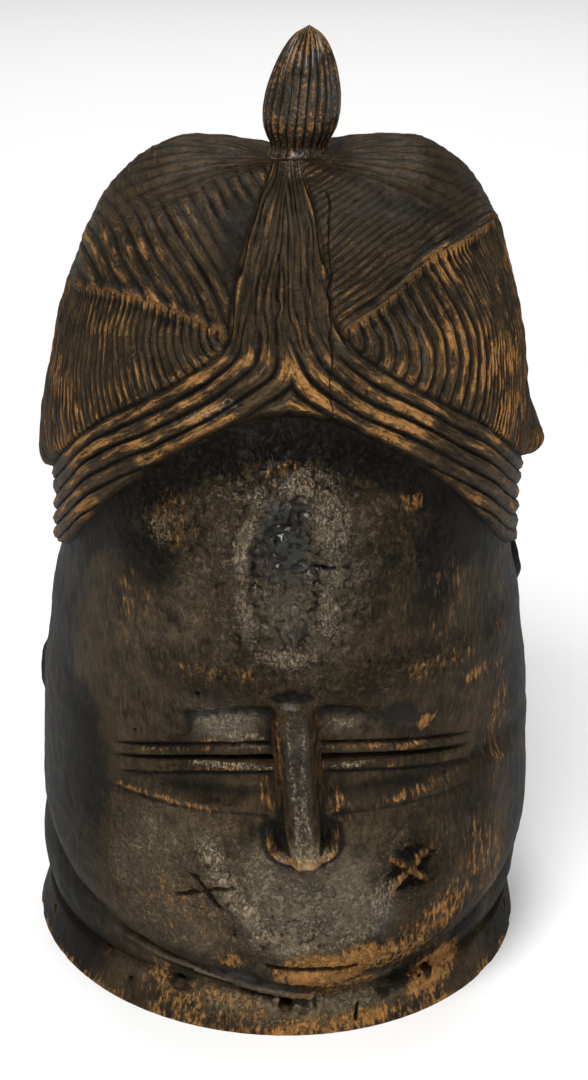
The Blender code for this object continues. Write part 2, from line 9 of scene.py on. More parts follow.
import bmesh
import bpy
import numpy as np
from bpy.props import FloatProperty, FloatVectorProperty, IntProperty, PointerProperty
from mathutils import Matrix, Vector


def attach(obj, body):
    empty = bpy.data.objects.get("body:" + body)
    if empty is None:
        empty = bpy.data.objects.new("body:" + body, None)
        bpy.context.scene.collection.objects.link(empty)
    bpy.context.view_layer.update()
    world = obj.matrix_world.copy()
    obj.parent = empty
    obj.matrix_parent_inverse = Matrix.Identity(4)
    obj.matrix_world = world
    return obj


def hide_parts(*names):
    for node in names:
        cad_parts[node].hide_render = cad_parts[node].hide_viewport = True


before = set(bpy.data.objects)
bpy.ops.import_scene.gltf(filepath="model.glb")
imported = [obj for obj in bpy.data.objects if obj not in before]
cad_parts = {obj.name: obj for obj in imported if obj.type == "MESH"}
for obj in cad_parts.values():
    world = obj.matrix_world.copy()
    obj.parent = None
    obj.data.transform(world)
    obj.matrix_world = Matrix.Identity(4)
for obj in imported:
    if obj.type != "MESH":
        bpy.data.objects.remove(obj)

bl_info = {
    "name": "Carved Helmet Mask",
    "version": (1, 0, 0),
    "blender": (4, 5, 0),
    "location": "3D View > Sidebar > Mask",
    "description": "Builds the finished skin of a carved wooden helmet mask, and a studio round it",
    "category": "Object",
}

MM = 0.001

# Whole form, in metres
HEIGHT = 0.392
HALF_WIDTH = 0.108
FRONT_REACH = 0.150
BACK_REACH = 0.120

# Rim, flange and neck
RIM_SIDE, RIM_FRONT, RIM_BACK = 0.107, 0.1286, 0.116
FLANGE_HEIGHT = 0.0165
FLARE_SIDE, FLARE_FRONT, FLARE_BACK = 0.006, 0.0095, 0.006
NECK_ROLL_RISE = 0.0056
JAW_ROUNDING = 0.018

# Hollow
WALL = 0.0165
CROWN_THICKNESS = 0.055
GOUGE_DEPTH, GOUGE_WIDTH, GOUGE_LENGTH = 0.0009, 0.018, 0.034

CHIP_DEPTH = 0.0004

# Cuts through the wall
SLIT_HEIGHT = 0.0030
SLIT_INNER = 0.0095
SLIT_LEFT_END, SLIT_RIGHT_END = 0.047, 0.058
SLIT_NEAR, SLIT_FAR, SLIT_STATIONS = 0.045, 0.180, 15

# Brow, sockets and eyes. Levels are shares of HEIGHT, and droops are per metre.
BROW_LEVEL, BROW_DROOP = 0.394, 3.2
SOCKET_FOOT, SOCKET_DEPTH = 0.263, 0.0042
SOCKET_LEFT_END, SOCKET_RIGHT_END = 0.047, 0.088
SOCKET_EDGE, SOCKET_FOOT_EDGE, SOCKET_END_EDGE = 0.006, 0.010, 0.0045
SOCKET_SOFT_RIGHT = 0.012
SOCKET_LOW_FROM, SOCKET_LOW_TO = 0.013, 0.004
SOCKET_LOW_REACH, SOCKET_LOW_SOFT = 0.030, 0.034
SOCKET_NOSE_EDGE = 0.012
SOCKET_LINE_DEPTH, SOCKET_LINE_WIDTH = 0.0011, 0.0016
SOCKET_LINE_START, SOCKET_LINE_END = 0.010, 0.085
EYE_LEVEL, EYE_DROOP = 0.324, 1.75
EYE_LINE_DEPTH, EYE_LINE_WIDTH, EYE_LINE_FADE = 0.0030, 0.0010, 0.022
UPPER_LID, LOWER_LID = 0.0053, 0.0066
LID_RISE, LID_END, LID_FADE, LID_NOSE_EDGE = 0.0013, 0.078, 0.016, 0.002
UPPER_LID_LINE, LOWER_LID_LINE, LID_LINE_WIDTH = 0.0015, 0.0008, 0.0008
UPPER_LID_CREST, LOWER_LID_CREST = 0.0040, 0.0046

# Forehead and muzzle
BOSS_LEVEL, BOSS_HALF_WIDTH, BOSS_HALF_HEIGHT, BOSS_RISE = 0.520, 0.030, 0.044, 0.0016
RING_LEVEL, RING_HALF_WIDTH, RING_HALF_HEIGHT = 0.533, 0.0180, 0.0340
RING_RISE, RING_BREADTH, RING_FLOOR = 0.0014, 0.17, 0.0013
MUZZLE_LEVEL, MUZZLE_HALF_WIDTH, MUZZLE_HALF_HEIGHT, MUZZLE_RISE = 0.150, 0.040, 0.030, 0.0030
LUMP_SIZE = 0.016

# Nose
NOSE_RISE, NOSE_ROOT_SHARE, NOSE_LEAN = 0.0125, 0.42, 0.0012
NOSE_FOOT, NOSE_ABOVE_BROW = 0.214, 0.003
NOSE_TOP_HALF_WIDTH, NOSE_TIP_HALF_WIDTH, NOSE_FOOT_HALF_WIDTH = 0.0047, 0.0030, 0.0096
NOSTRIL_HALF_WIDTH, NOSTRIL_DROP, NOSTRIL_LEVEL, NOSTRIL_TOP = 0.0126, 0.0124, 0.0150, 0.0165
WING_SHARE, WING_HALF_WIDTH, WING_EDGE, WING_TOP_EDGE = 0.62, 0.0026, 0.0016, 0.0050
NOSTRIL_FLOOR_SHARE, NOSTRIL_COMB_PITCH = 0.20, 0.0016

# Mouth and cheek marks
MOUTH_LEVEL, MOUTH_SINK, MOUTH_CURVE, MOUTH_SLANT = 0.088, 0.0008, 3.0, 0.06
LIP_RISE, LIP_HALF_WIDTH, LIP_FADE = 0.0034, 0.0185, 0.012
UPPER_LIP_AT, UPPER_LIP_WIDTH, UPPER_LIP_SHARE = 0.0045, 0.0050, 0.40
LOWER_LIP_AT, LOWER_LIP_WIDTH, LOWER_LIP_SHARE = 0.0080, 0.0075, 0.62
MOUTH_LINE_DEPTH, MOUTH_LINE_WIDTH = 0.0022, 0.0007
MOUTH_HOLLOW_DEPTH, MOUTH_HOLLOW_AT, MOUTH_HOLLOW_WIDTH = 0.0008, 0.0012, 0.0016
MARK_DEPTH, MARK_WIDTH, MARK_FADE = 0.0016, 0.0012, 0.006
MARK_EDGE_AT, MARK_EDGE_WIDTH, MARK_EDGE_SHARE, MARK_CLEARANCE = 0.0027, 0.0011, 0.35, 0.0021
POCKET_DEPTH, POCKET_REACH = 0.0019, 0.0125
# (place across, level, half length and degrees of each stroke, how far sunk: below 0 stands out of a pocket)
CHEEK_MARKS = ((-0.040, 0.174, 0.0150, 18, 0.0115, -58, 1.0), (0.043, 0.190, 0.0175, -40, 0.0160, 40, -0.50))

# Ears: (degrees round from the front, level, rise)
EARS = ((92, 0.410, 0.0032), (-96, 0.280, 0.0022))
EAR_HALF_WIDTH, EAR_HALF_HEIGHT = 0.0085, 0.0145

# Hair carving
HAIR_STEP, HAIR_EDGE = 0.0028, 0.0018
PARTING_RISE, PARTING_BREADTH, PARTING_EDGE = 0.0022, 0.0018, 0.0006
BAND_SLOPE, BAND_CORNER = 0.84, 0.006
CORNER_FRONT, CORNER_BACK, CORNER_LEVEL = 0.76, 0.86, 0.744
FINE_LOCKS_FROM = 0.062
LEFT_LOCK_PITCH, RIGHT_CROWN_PITCH = 0.61, 0.55
LOOK_UP, LOOK_BACK = 0.94, 0.34
FAN_CENTRE = (-0.0030, 0.012, 0.3400)
FAN_PITCH_DEGREES, FAN_REACH = 5.5, (0.080, 0.050)
COLUMN_FROM, COLUMN_TO = 0.715, 0.745
CROWN_INSET, CROWN_INSET_PITCH = 0.0280, 0.0046
LOBE_RISE, LOBE_TIP_LEFT, LOBE_TIP_RIGHT = 0.0012, 0.0055, 0.0105
LOBE_TIP_DOWN, LOBE_TIP_UP_LEFT, LOBE_TIP_UP_RIGHT = 0.016, 0.030, 0.017
LOBE_ROLL_LEFT, LOBE_ROLL_RIGHT = 0.0070, 0.0100
VALLEY_DEPTH, VALLEY_WIDTH = 0.0035, 0.024
KNOB_HALF_WIDTH = 0.0160
KNOB_FLUTE_DEPTH = 0.0009
KNOB_FLUTES = 24

# Rows of the web
KNOB_ROWS = 70
HOLLOW_ROWS = 50
RIM_ROWS = 6
FRONT_CLOSENESS = 0.55

# How far the finished skin lies inside the plain solid, so that its bumps stay within it
SKIN_INSET = 0.0006

# Girth lines: (share along the form, side reach, front reach, back reach, side height, front height).
# Reaches are shares of HALF_WIDTH, FRONT_REACH and BACK_REACH, and heights are shares of HEIGHT.
GIRTHS = np.array([
    (0.000, 0.990, 0.857, 1.000, 0.000, 0.000),
    (0.110, 0.985, 0.880, 0.965, 0.110, 0.110),
    (0.173, 0.990, 0.900, 0.950, 0.173, 0.173),
    (0.243, 0.984, 0.895, 0.960, 0.243, 0.250),
    (0.301, 0.975, 0.900, 0.970, 0.301, 0.315),
    (0.360, 0.950, 0.925, 0.985, 0.360, 0.375),
    (0.400, 0.932, 0.965, 0.995, 0.400, 0.420),
    (0.445, 0.896, 0.990, 1.000, 0.445, 0.465),
    (0.500, 0.882, 1.000, 1.000, 0.500, 0.520),
    (0.560, 0.888, 0.995, 1.000, 0.560, 0.575),
    (0.612, 0.893, 0.960, 0.985, 0.612, 0.620),
    (0.665, 0.878, 0.895, 0.950, 0.665, 0.670),
    (0.718, 0.842, 0.815, 0.895, 0.718, 0.722),
    (0.770, 0.785, 0.705, 0.800, 0.768, 0.768),
    (0.822, 0.705, 0.580, 0.670, 0.817, 0.810),
    (0.868, 0.585, 0.435, 0.510, 0.853, 0.836),
    (0.905, 0.440, 0.315, 0.380, 0.872, 0.851),
    (0.948, 0.280, 0.200, 0.245, 0.872, 0.862),
    (0.985, 0.128, 0.094, 0.117, 0.866, 0.866),
])
LAST_GIRTH = GIRTHS[-1, 0]
CROWN_HEIGHT = GIRTHS[-1, 5] * HEIGHT
FACE_OVAL, RIM_OVAL = 2.25, 2.0

# Set of the axis: (share of HEIGHT, metres to +X, degrees turned towards +X)
TO_ORIGIN = (0.0036, 0.0143)
SET = np.array([
    (0.00, -0.0085, 7.5), (0.10, -0.0065, 6.0), (0.22, -0.0047, 3.6), (0.40, -0.0039, 1.6),
    (0.55, -0.0030, 0.0), (0.70, -0.0017, 0.0), (0.85, 0.0012, 0.0), (1.00, 0.0062, 0.0),
])

# Knob: (share of its height, share of KNOB_HALF_WIDTH)
KNOB_PROFILE = np.array([
    (0.00, 0.84), (0.08, 0.74), (0.16, 0.86), (0.245, 0.96), (0.36, 1.00),
    (0.46, 0.98), (0.62, 0.87), (0.806, 0.64), (0.93, 0.36), (1.00, 0.00),
])

# Levels by turn from the front in degrees, as shares of HEIGHT
HAIRLINE = np.array([
    (0, 0.681), (5, 0.678), (9, 0.671), (13, 0.659), (18, 0.641), (23, 0.619), (28, 0.595), (33, 0.569),
    (40, 0.537), (47, 0.510), (55, 0.488), (65, 0.471), (75, 0.461), (90, 0.453), (120, 0.440), (180, 0.432),
])
LOBE_EDGE = np.array([
    (0, 0.765), (8, 0.742), (12, 0.727), (16, 0.714), (22, 0.694), (30, 0.668), (37, 0.645), (48, 0.606),
    (60, 0.575), (75, 0.549), (90, 0.530), (120, 0.516), (180, 0.505),
])
PARTING_LEFT = np.array([(0, 0.738), (12, 0.744), (21, 0.754), (36, 0.762), (62, 0.750), (90, 0.735)])
PARTING_RIGHT = np.array([(0, 0.728), (8, 0.743), (18, 0.764), (35, 0.798), (69, 0.807), (90, 0.800)])
PARTING_HALF = np.array([(0.70, 0.0215), (0.763, 0.0186), (0.79, 0.0173), (0.82, 0.0145), (0.847, 0.0108),
                         (0.866, 0.0060)])
LOBE_EDGE_TILT = 0.0075
LOBE_TIP_LEVEL = 0.549
HAIR_CENTRE = -0.0045
FORK_CENTRE = 0.0010
JAW_FRONT, JAW_SIDE = 0.044, 0.142

# Tie holes in the flange: (degrees round from the front, height, diameter)
TIE_HOLES = ((-76, 0.0100, 0.0044), (-48, 0.0150, 0.0038), (-39, 0.0090, 0.0026), (-27, 0.0150, 0.0046),
             (-5, 0.0120, 0.0054), (26, 0.0145, 0.0038), (65, 0.0110, 0.0044), (105, 0.0110, 0.0046),
             (143, 0.0110, 0.0044), (180, 0.0110, 0.0048), (-143, 0.0110, 0.0046), (-108, 0.0110, 0.0044))

# Where the finish changes, in millimetres, degrees and percent:
# (place across, height, half width, half height, degrees turned, strength)
WORN_PATCHES = (
    (3, 31, 21, 12.5, 0, 100), (20, 36, 16, 10, 6, 80), (6, 18, 30, 5, 3, 66), (38, 36, 18, 12, 25, 58),
    (56, 48, 24, 12, 38, 50), (76, 66, 14, 30, 8, 40), (85, 125, 7, 40, 0, 36), (87, 175, 6, 40, 0, 26),
    (0.5, 86.5, 16.5, 4.5, 0, 62), (-8, 128, 2.8, 30, 0, 64), (8.6, 128, 3, 30, 0, 66),
    (-12.5, 112, 4, 8, 0, 60), (15, 106, 6, 10, 0, 50), (53, 137, 6, 5, 20, 74), (46, 127, 12, 2, 4, 52),
    (-30, 132, 18, 2, 0, 50), (-69, 104.5, 10, 2.5, -14, 56), (-50, 104.5, 24, 2.2, -4, 52),
    (45, 106.5, 30, 2.5, 6, 44), (74, 150, 10, 5, 10, 54), (-40, 69, 18, 3, 20, 50), (42, 74, 18, 3, 40, 58),
    (42, 74, 18, 3, -40, 56), (45.9, 233.1, 7, 5, 0, 60), (3, 247, 18, 10, 0, 36), (-43, 227, 12, 14, 0, 42),
    (-33, 36, 6, 7, 0, 60), (-50, 58, 26, 24, 0, 34), (-60, 188, 14, 26, 0, 29), (-30, 167, 34, 5, 0, 36),
    (58, 163, 24, 6, 0, 38), (62, 190, 12, 26, 0, 27), (54, 14, 18, 10, 25, 72), (12, 4, 40, 5.5, 2, 66),
    (-60, 18, 8, 8, 0, 50), (-40, 10, 40, 10, 0, 44),
)
# Pale crust; the patches on the forehead ring, along the nose and at its foot are partly a painted highlight
PALE_PATCHES = (
    (-37, 85, 6, 9, 25, 56), (-32, 73, 4.8, 11, 32, 72), (-25, 60, 5, 12, 30, 80), (-18, 49, 7.5, 5, 35, 78),
    (-5, 44, 14, 4, 0, 56), (30, 64, 7, 13, -20, 44), (19, 50, 12, 7, 20, 42), (0.8, 110, 1.8, 15, 0, 44),
    (0.6, 90, 11, 7, 0, 46), (-29, 143, 17, 8, 0, 46), (-26, 122.5, 20, 1.8, 0, 62),
    (-23, 135, 18, 1.8, 0, 46), (19, 141, 9, 3, 0, 46), (22, 122.5, 10, 1.6, 0, 50),
    (-30, 266, 16, 4, 24, 30), (-1, 338.5, 8, 2.2, 0, 36), (-2, 176, 15, 5, 0, 58), (17, 230, 9, 15, 14, 54),
    (-17, 219, 4.5, 17, -10, 30), (8, 244, 14, 7, 0, 46), (14.5, 198, 4, 16, 0, 46), (-15, 190, 4, 16, 0, 46),
    (-48, 223, 6, 8, 0, 40), (0, 16, 26, 6, 0, 36),
)
FILM_PATCHES = (
    (-2, 66, 32, 32, 0, 100), (-30, 72, 14, 22, 30, 62), (0.6, 125, 4.8, 34, 0, 16),
    (-29, 142, 19, 10, 0, 66), (-1, 194, 17, 16, 0, 62), (6, 205, 28, 46, 0, 46), (-50, 70, 34, 44, 0, 46),
    (0, 14, 56, 12, 0, 72), (-20, 215, 50, 40, 0, 30), (22, 140, 16, 6, 0, 34), (30, 75, 20, 20, 0, 30),
    (-40, 180, 40, 20, 0, 22),
)
# Black stains; the two patches 11 mm to either side of the middle and 96 mm up blacken the nostril hollows as
# painted shadow
BLACK_PATCHES = (
    (41, 145, 10, 8, 0, 72), (43, 74, 15, 14, 0, 44), (-36, 110, 26, 6, -2, 66), (36, 111, 26, 6, 2, 52),
    (-86, 108, 12, 44, 0, 85), (44, 17, 22, 7, 14, 84), (70, 26, 12, 18, 20, 70), (58, 203, 14, 30, -12, 74),
    (-56, 212, 20, 20, 20, 78), (64, 214, 20, 22, 20, 84), (-11, 96, 4.5, 7.5, 0, 95),
    (11, 96, 4.5, 7.5, 0, 95), (72, 88, 12, 30, 0, 46), (0, 224, 11.5, 20, 0, 66), (-44, 139, 2.5, 9, 0, 60),
    (85, 170, 10, 60, 0, 50), (-86, 200, 12, 40, 0, 60), (4, 183, 3, 9, 0, 55), (-30, 176, 30, 6, 0, 20),
    (50, 170, 40, 10, 0, 34),
)
# Glossy places: they take a clear coat, and their colour is mixed towards a bluish black as a painted sheen
GLOSS_PATCHES = (
    (0, 222, 12.5, 24, 0, 100), (-1, 194, 16, 15, 0, 60), (1, 212, 30, 40, 0, 26), (2, 70, 26, 24, 0, 40),
    (-31, 142, 18, 12, 0, 60), (0.6, 125, 6, 36, 0, 50), (28, 58, 8, 14, 0, 60), (-35, 23, 40, 8, 12, 70),
    (30, 142, 20, 10, 0, 30),
)
CRACKLE_PATCHES = (
    (1, 208, 36, 50, 0, 100), (1, 248, 56, 16, 0, 100), (-43, 226, 24, 22, 20, 90),
    (45, 222, 22, 20, -20, 66), (-5, 60, 34, 30, 0, 75), (-36, 72, 20, 24, 30, 80), (43, 74, 18, 16, 0, 90),
    (-30, 144, 22, 10, 0, 50), (20, 166, 70, 12, 0, 55), (30, 30, 50, 20, 12, 45), (0.6, 125, 6, 36, 0, 60),
    (-60, 70, 30, 40, 0, 40), (0, 12, 40, 10, 0, 60),
)
# Wear of each kind of hair: (kind, on the left, on the right)
HAIR_WEAR = (("plaited", 0.49, 0.49), ("column", -0.24, -0.24), ("lower", 0.44, 0.50), ("upper", 0.36, 0.30),
             ("fan", 0.24, 0.24))
# How black the sides of the face are made, partly as painted shade where they turn away from the light, and
# how glossy they are, which also mixes in a painted bluish sheen
SIDE_BLACK_AND_SHADE, SIDE_GLOSS = 0.74, 0.03
SMOOTH_HAIR = (
    (-17, 318, 15, 17, 20, 90), (40, 330, 30, 14, 0, 60),
)

# Lines on the surface, in millimetres: (place across and height of each end, width, rise)
FOLDS = (
    (-40, 89.6, -35.4, 79, 4, 0.7), (-35.4, 79, -26.7, 64.3, 3.4, 1), (-26.7, 64.3, -19.2, 50.2, 3.4, 1),
    (-19.2, 50.2, -8.6, 44.5, 3, 0.6), (31, 80, 33, 62, 4, 0.6), (33, 62, 24, 48, 3.4, 0.6),
)
NECK_LIP = (
    (-76, 30, -60.6, 27, 1.8, 1.2), (-60.6, 27, -45.1, 24.6, 2, 2.2), (-45.1, 24.6, -29.6, 22, 2.2, 3.4),
    (-29.6, 22, -13.4, 19, 2.3, 4.4), (-13.4, 19, -1, 17, 2.4, 5),
)
CRACKS = (
    (12.2, 333, 13.8, 306, 0.4, 0.8), (13.8, 306, 14.8, 284, 0.4, 0.9), (14.8, 284, 15.6, 264, 0.35, 0.7),
    (9, 213.6, 18, 212.8, 0.8, 1), (18, 212.8, 38, 211.5, 0.4, 0.4), (19.2, 10, 17.8, 4, 0.8, 1),
    (-6, 318, -5.2, 290, 0.45, 0.7), (5, 325, 6, 298, 0.4, 0.6),
)
# (place across, height, radius), in millimetres
PINHOLES = (
    (-37.5, 156, 0.9), (47.7, 13.8, 0.7), (-64, 132, 0.5), (30, 172, 0.5), (62, 110, 0.5), (-30, 50, 0.5),
)

# Camera, as the mask is seen from a step away
CAMERA_RISE = 20.0
CAMERA_DISTANCE = 1.10
CAMERA_TARGET = (0.0036, 0.0143, 0.170)
CAMERA_LENS = 84.33
CAMERA_SENSOR = 36.0


def step(low, high, x):
    """0 below low, 1 above high, and a smooth climb between."""
    t = np.clip((x - low) / (high - low), 0.0, 1.0)
    return t * t * (3.0 - 2.0 * t)


def bell(x, width):
    """1 at x = 0, falling away on both sides over about the width: exp(-(x / width) squared)."""
    return np.exp(-((x / width) ** 2))


def through(points, x, column=1):
    """A smooth curve through the points, with no overshoot: cubic pieces with slopes limited at each knot."""
    known, value = points[:, 0], points[:, column]
    run = np.diff(known)
    slope = np.diff(value) / run
    tangent = np.empty_like(value)
    tangent[0], tangent[-1] = slope[0], slope[-1]
    same_way = slope[:-1] * slope[1:] > 0
    mean = 2.0 * slope[:-1] * slope[1:] / np.where(same_way, slope[:-1] + slope[1:], 1.0)
    tangent[1:-1] = np.where(same_way, mean, 0.0)
    x = np.clip(x, known[0], known[-1])
    i = np.clip(np.searchsorted(known, x, side="right") - 1, 0, len(run) - 1)
    t = (x - known[i]) / run[i]
    return ((1 + 2 * t) * (1 - t) ** 2 * value[i] + t * (1 - t) ** 2 * run[i] * tangent[i]
            + t * t * (3 - 2 * t) * value[i + 1] + t * t * (t - 1) * run[i] * tangent[i + 1])


def oval(turn, side, front, back, power):
    """Reach of an oval with half-axes of its own to the side, the front and the back, at a turn."""
    ahead = np.where(np.cos(turn) > 0, front, back)
    across, along = np.abs(np.sin(turn)) / side, np.abs(np.cos(turn)) / ahead
    return (across ** power + along ** power) ** (-1.0 / power)


def crest(phase, sharpness=0.7):
    """1 on each whole phase and 0 half way between, round on top and narrow at the foot."""
    return np.abs(np.cos(math.pi * phase)) ** sharpness


def greater(a, b, rounding):
    """The larger of two lengths, with the corner between them rounded."""
    return 0.5 * (a + b + np.sqrt((a - b) ** 2 + rounding ** 2))


def wander(a, b, size, seed):
    """A smooth wavering between about -1 and 1: a mean of seven sine waves that run in seven directions."""
    total = np.zeros(np.broadcast(a, b).shape)
    for k in range(7):
        angle = seed + 2.4 * k
        wave = 2.0 * math.pi / (size * (0.6 + 0.13 * k))
        total += np.sin(wave * (a * math.cos(angle) + b * math.sin(angle)) + 1.7 * seed * (k + 1))
    return total / 3.2


def patches(x, z, table):
    """The strongest of a table of soft oval patches at each place."""
    most = np.zeros_like(x)
    x, z = x / MM, z / MM
    for at_x, at_z, half_x, half_z, tilt, percent in table:
        c, s = math.cos(math.radians(tilt)), math.sin(math.radians(tilt))
        dx, dz = x - at_x, z - at_z
        away = np.hypot((c * dx + s * dz) / half_x, (c * dz - s * dx) / half_z)
        most = np.maximum(most, 0.01 * percent * (1.0 - step(0.35, 1.35, away)))
    return most


def blurred(field, reach):
    """The mean of a field over a square of 2 reach + 1 cells, with columns that close on themselves."""
    wrapped = np.concatenate([field[:, -reach - 1:], field, field[:, :reach]], axis=1)
    total = np.cumsum(wrapped, axis=1)
    field = (total[:, 2 * reach + 1:] - total[:, :-2 * reach - 1]) / (2 * reach + 1)
    first, last = np.repeat(field[:1], reach + 1, axis=0), np.repeat(field[-1:], reach, axis=0)
    padded = np.concatenate([first, field, last])
    total = np.cumsum(padded, axis=0)
    return (total[2 * reach + 1:] - total[:-2 * reach - 1]) / (2 * reach + 1)


def turns(columns):
    """Turns of the columns from the front, closer together on the face than at the back."""
    t = np.linspace(-1.0, 1.0, columns, endpoint=False)
    return math.pi * (FRONT_CLOSENESS * t + (1.0 - FRONT_CLOSENESS) * t ** 3)


def jaw_level(turn):
    """Height of the lower edge of the face: lowest under the chin, level from the ears back."""
    lift = np.clip(2.0 * np.sin(0.5 * turn) ** 2, 0.0, 1.0) ** 0.55
    return HEIGHT * (JAW_FRONT + (JAW_SIDE - JAW_FRONT) * lift)


def plain_form(turn, share):
    """The uncarved head: reach and height of each girth line round the axis."""
    reach = oval(turn, HALF_WIDTH * through(GIRTHS, share, 1), FRONT_REACH * through(GIRTHS, share, 2),
                 BACK_REACH * through(GIRTHS, share, 3), FACE_OVAL)
    side_height = HEIGHT * through(GIRTHS, share, 4)
    front_height = HEIGHT * through(GIRTHS, share, 5)
    height = side_height + (front_height - side_height) * np.cos(turn) ** 2
    return reach, height


def neck_form(turn, height):
    """Reach of the flange, flared down to the rim, and of the neck roll between it and the jaw."""
    rim = oval(turn, RIM_SIDE, RIM_FRONT, RIM_BACK, RIM_OVAL)
    waist = oval(turn, RIM_SIDE - FLARE_SIDE, RIM_FRONT - FLARE_FRONT, RIM_BACK - FLARE_BACK, RIM_OVAL)
    jaw = jaw_level(turn)
    down = 1.0 - np.clip(height / FLANGE_HEIGHT, 0.0, 1.0)
    flange = waist + (rim - waist) * (0.25 * step(0.0, 0.12, down) + 0.75 * down ** 0.9)
    span = np.maximum(jaw + 0.006 - FLANGE_HEIGHT, 0.004)
    roll = np.clip((height - FLANGE_HEIGHT) / span, 0.0, 1.0)
    rise = NECK_ROLL_RISE * (0.45 + 0.55 * np.sin(turn) ** 2)
    return np.where(height > FLANGE_HEIGHT, waist + rise * np.sin(math.pi * roll) ** 0.7, flange)


def eye_line(x):
    """Height of the line between the lids, which falls with the square of the distance from the middle."""
    return EYE_LEVEL * HEIGHT - EYE_DROOP * x ** 2


def ring_share(x, z):
    """1 on the oval ring of the forehead, less within it and more outside."""
    return np.hypot(x / RING_HALF_WIDTH, (z - RING_LEVEL * HEIGHT) / RING_HALF_HEIGHT)


def nose_half_width(down):
    """Half the width of the flat nose ridge, from its top (0) down to its tip (1)."""
    return NOSE_TOP_HALF_WIDTH + (NOSE_TIP_HALF_WIDTH - NOSE_TOP_HALF_WIDTH) * down


def nostril_line(x, z):
    """Distance off the line that runs round under the nose and curls up at both sides of it."""
    drop = np.clip(NOSE_FOOT * HEIGHT + NOSTRIL_LEVEL - z, 0.0, None) / NOSTRIL_DROP
    return NOSTRIL_HALF_WIDTH * (((np.abs(x) / NOSTRIL_HALF_WIDTH) ** 3 + drop ** 3) ** (1 / 3) - 1.0)


def eye_carving(x, z):
    """Depth of the sockets, the line at their foot, both lids and the line between the lids."""
    wide, eye, foot = np.abs(x), eye_line(x), SOCKET_FOOT * HEIGHT
    brow = BROW_LEVEL * HEIGHT - BROW_DROOP * x ** 2
    low = step(SOCKET_LOW_FROM, SOCKET_LOW_TO, z - eye)
    end = np.where(x < 0, SOCKET_LEFT_END, SOCKET_RIGHT_END) + SOCKET_LOW_REACH * low
    brow_edge = SOCKET_EDGE + SOCKET_SOFT_RIGHT * step(0.02, 0.05, x)
    end_edge = SOCKET_END_EDGE + SOCKET_LOW_SOFT * low + SOCKET_SOFT_RIGHT * (x > 0)
    socket = (step(0.0, brow_edge, brow - z) * step(0.0, SOCKET_FOOT_EDGE, z - foot)
              * step(0.0, end_edge, end - wide))
    depth = -SOCKET_DEPTH * socket * step(0.0, SOCKET_NOSE_EDGE, wide - 0.3 * NOSE_TOP_HALF_WIDTH)
    line = step(0.0, 0.02, SOCKET_LINE_END - wide) * step(0.0, 0.004, wide - SOCKET_LINE_START)
    depth -= SOCKET_LINE_DEPTH * bell(z - foot, SOCKET_LINE_WIDTH) * line

    beside_nose = step(0.0, LID_NOSE_EDGE, wide - SLIT_INNER)
    within = step(0.0, LID_FADE, LID_END - wide) * beside_nose
    above, below = (z - eye) / UPPER_LID, (eye - z) / LOWER_LID
    lids = (np.sqrt(np.clip(1 - (2 * above - 1) ** 2, 0, 1))
            + 0.8 * np.sqrt(np.clip(1 - (2 * below - 1) ** 2, 0, 1)))
    depth += LID_RISE * within * lids
    depth -= within * (UPPER_LID_LINE * bell(z - eye - UPPER_LID, LID_LINE_WIDTH)
                       + LOWER_LID_LINE * bell(z - eye + LOWER_LID, LID_LINE_WIDTH))
    shut = step(0.0, EYE_LINE_FADE, LID_END - wide) * beside_nose
    return depth - EYE_LINE_DEPTH * bell(z - eye, EYE_LINE_WIDTH) * shut


def swellings(x, z, lumps):
    """Rise of the forehead with the ring and the sunk place on it, of the muzzle and of the cheek folds."""
    boss = np.hypot(x / BOSS_HALF_WIDTH, (z - BOSS_LEVEL * HEIGHT) / BOSS_HALF_HEIGHT)
    muzzle = np.hypot(x / MUZZLE_HALF_WIDTH, (z - MUZZLE_LEVEL * HEIGHT) / MUZZLE_HALF_HEIGHT)
    ring = ring_share(x, z)
    depth = BOSS_RISE * step(0.0, 0.9, 1 - boss) + MUZZLE_RISE * bell(muzzle, 1.0)
    depth += RING_RISE * bell(ring - 1.0, RING_BREADTH) * (0.75 + 0.45 * lumps)
    return depth - RING_FLOOR * step(0.92, 0.60, ring) + lined(x, z, FOLDS, 0.0010 * lumps)


def nose_carving(x, z):
    """Rise of the nose ridge, of the wings that curl round the nostrils and of the combed floor in them."""
    wide = np.abs(x)
    top, foot = (BROW_LEVEL + NOSE_ABOVE_BROW) * HEIGHT, NOSE_FOOT * HEIGHT
    down = np.clip((top - z) / (top - foot), 0.0, 1.0)
    along = step(-0.001, 0.0015, top - z) * step(0.0, 0.0014, z - foot)
    flat = nose_half_width(down)
    side = np.clip((np.abs(x - NOSE_LEAN * (down - 0.5)) - flat) / (NOSE_FOOT_HALF_WIDTH - flat), 0.0, 1.0)
    rise = NOSE_RISE * (NOSE_ROOT_SHARE + (1.0 - NOSE_ROOT_SHARE) * down ** 1.2)
    nose = rise * (0.35 * (1 - side) ** 2 + 0.65 * step(1.0, 0.0, side))
    curl, below_top = nostril_line(x, z), foot + NOSTRIL_TOP - z
    wing = (WING_SHARE * NOSE_RISE * step(0.0, WING_EDGE, WING_HALF_WIDTH - np.abs(curl))
            * step(0.0, WING_TOP_EDGE, below_top))
    combed = 0.7 + 0.3 * crest((wide + 0.5 * (z - foot)) / NOSTRIL_COMB_PITCH)
    floor = NOSTRIL_FLOOR_SHARE * NOSE_RISE * combed * step(0.0, 0.0015, -curl) * step(0.0, 0.006, below_top)
    return np.maximum(np.maximum(nose, wing), floor) * along


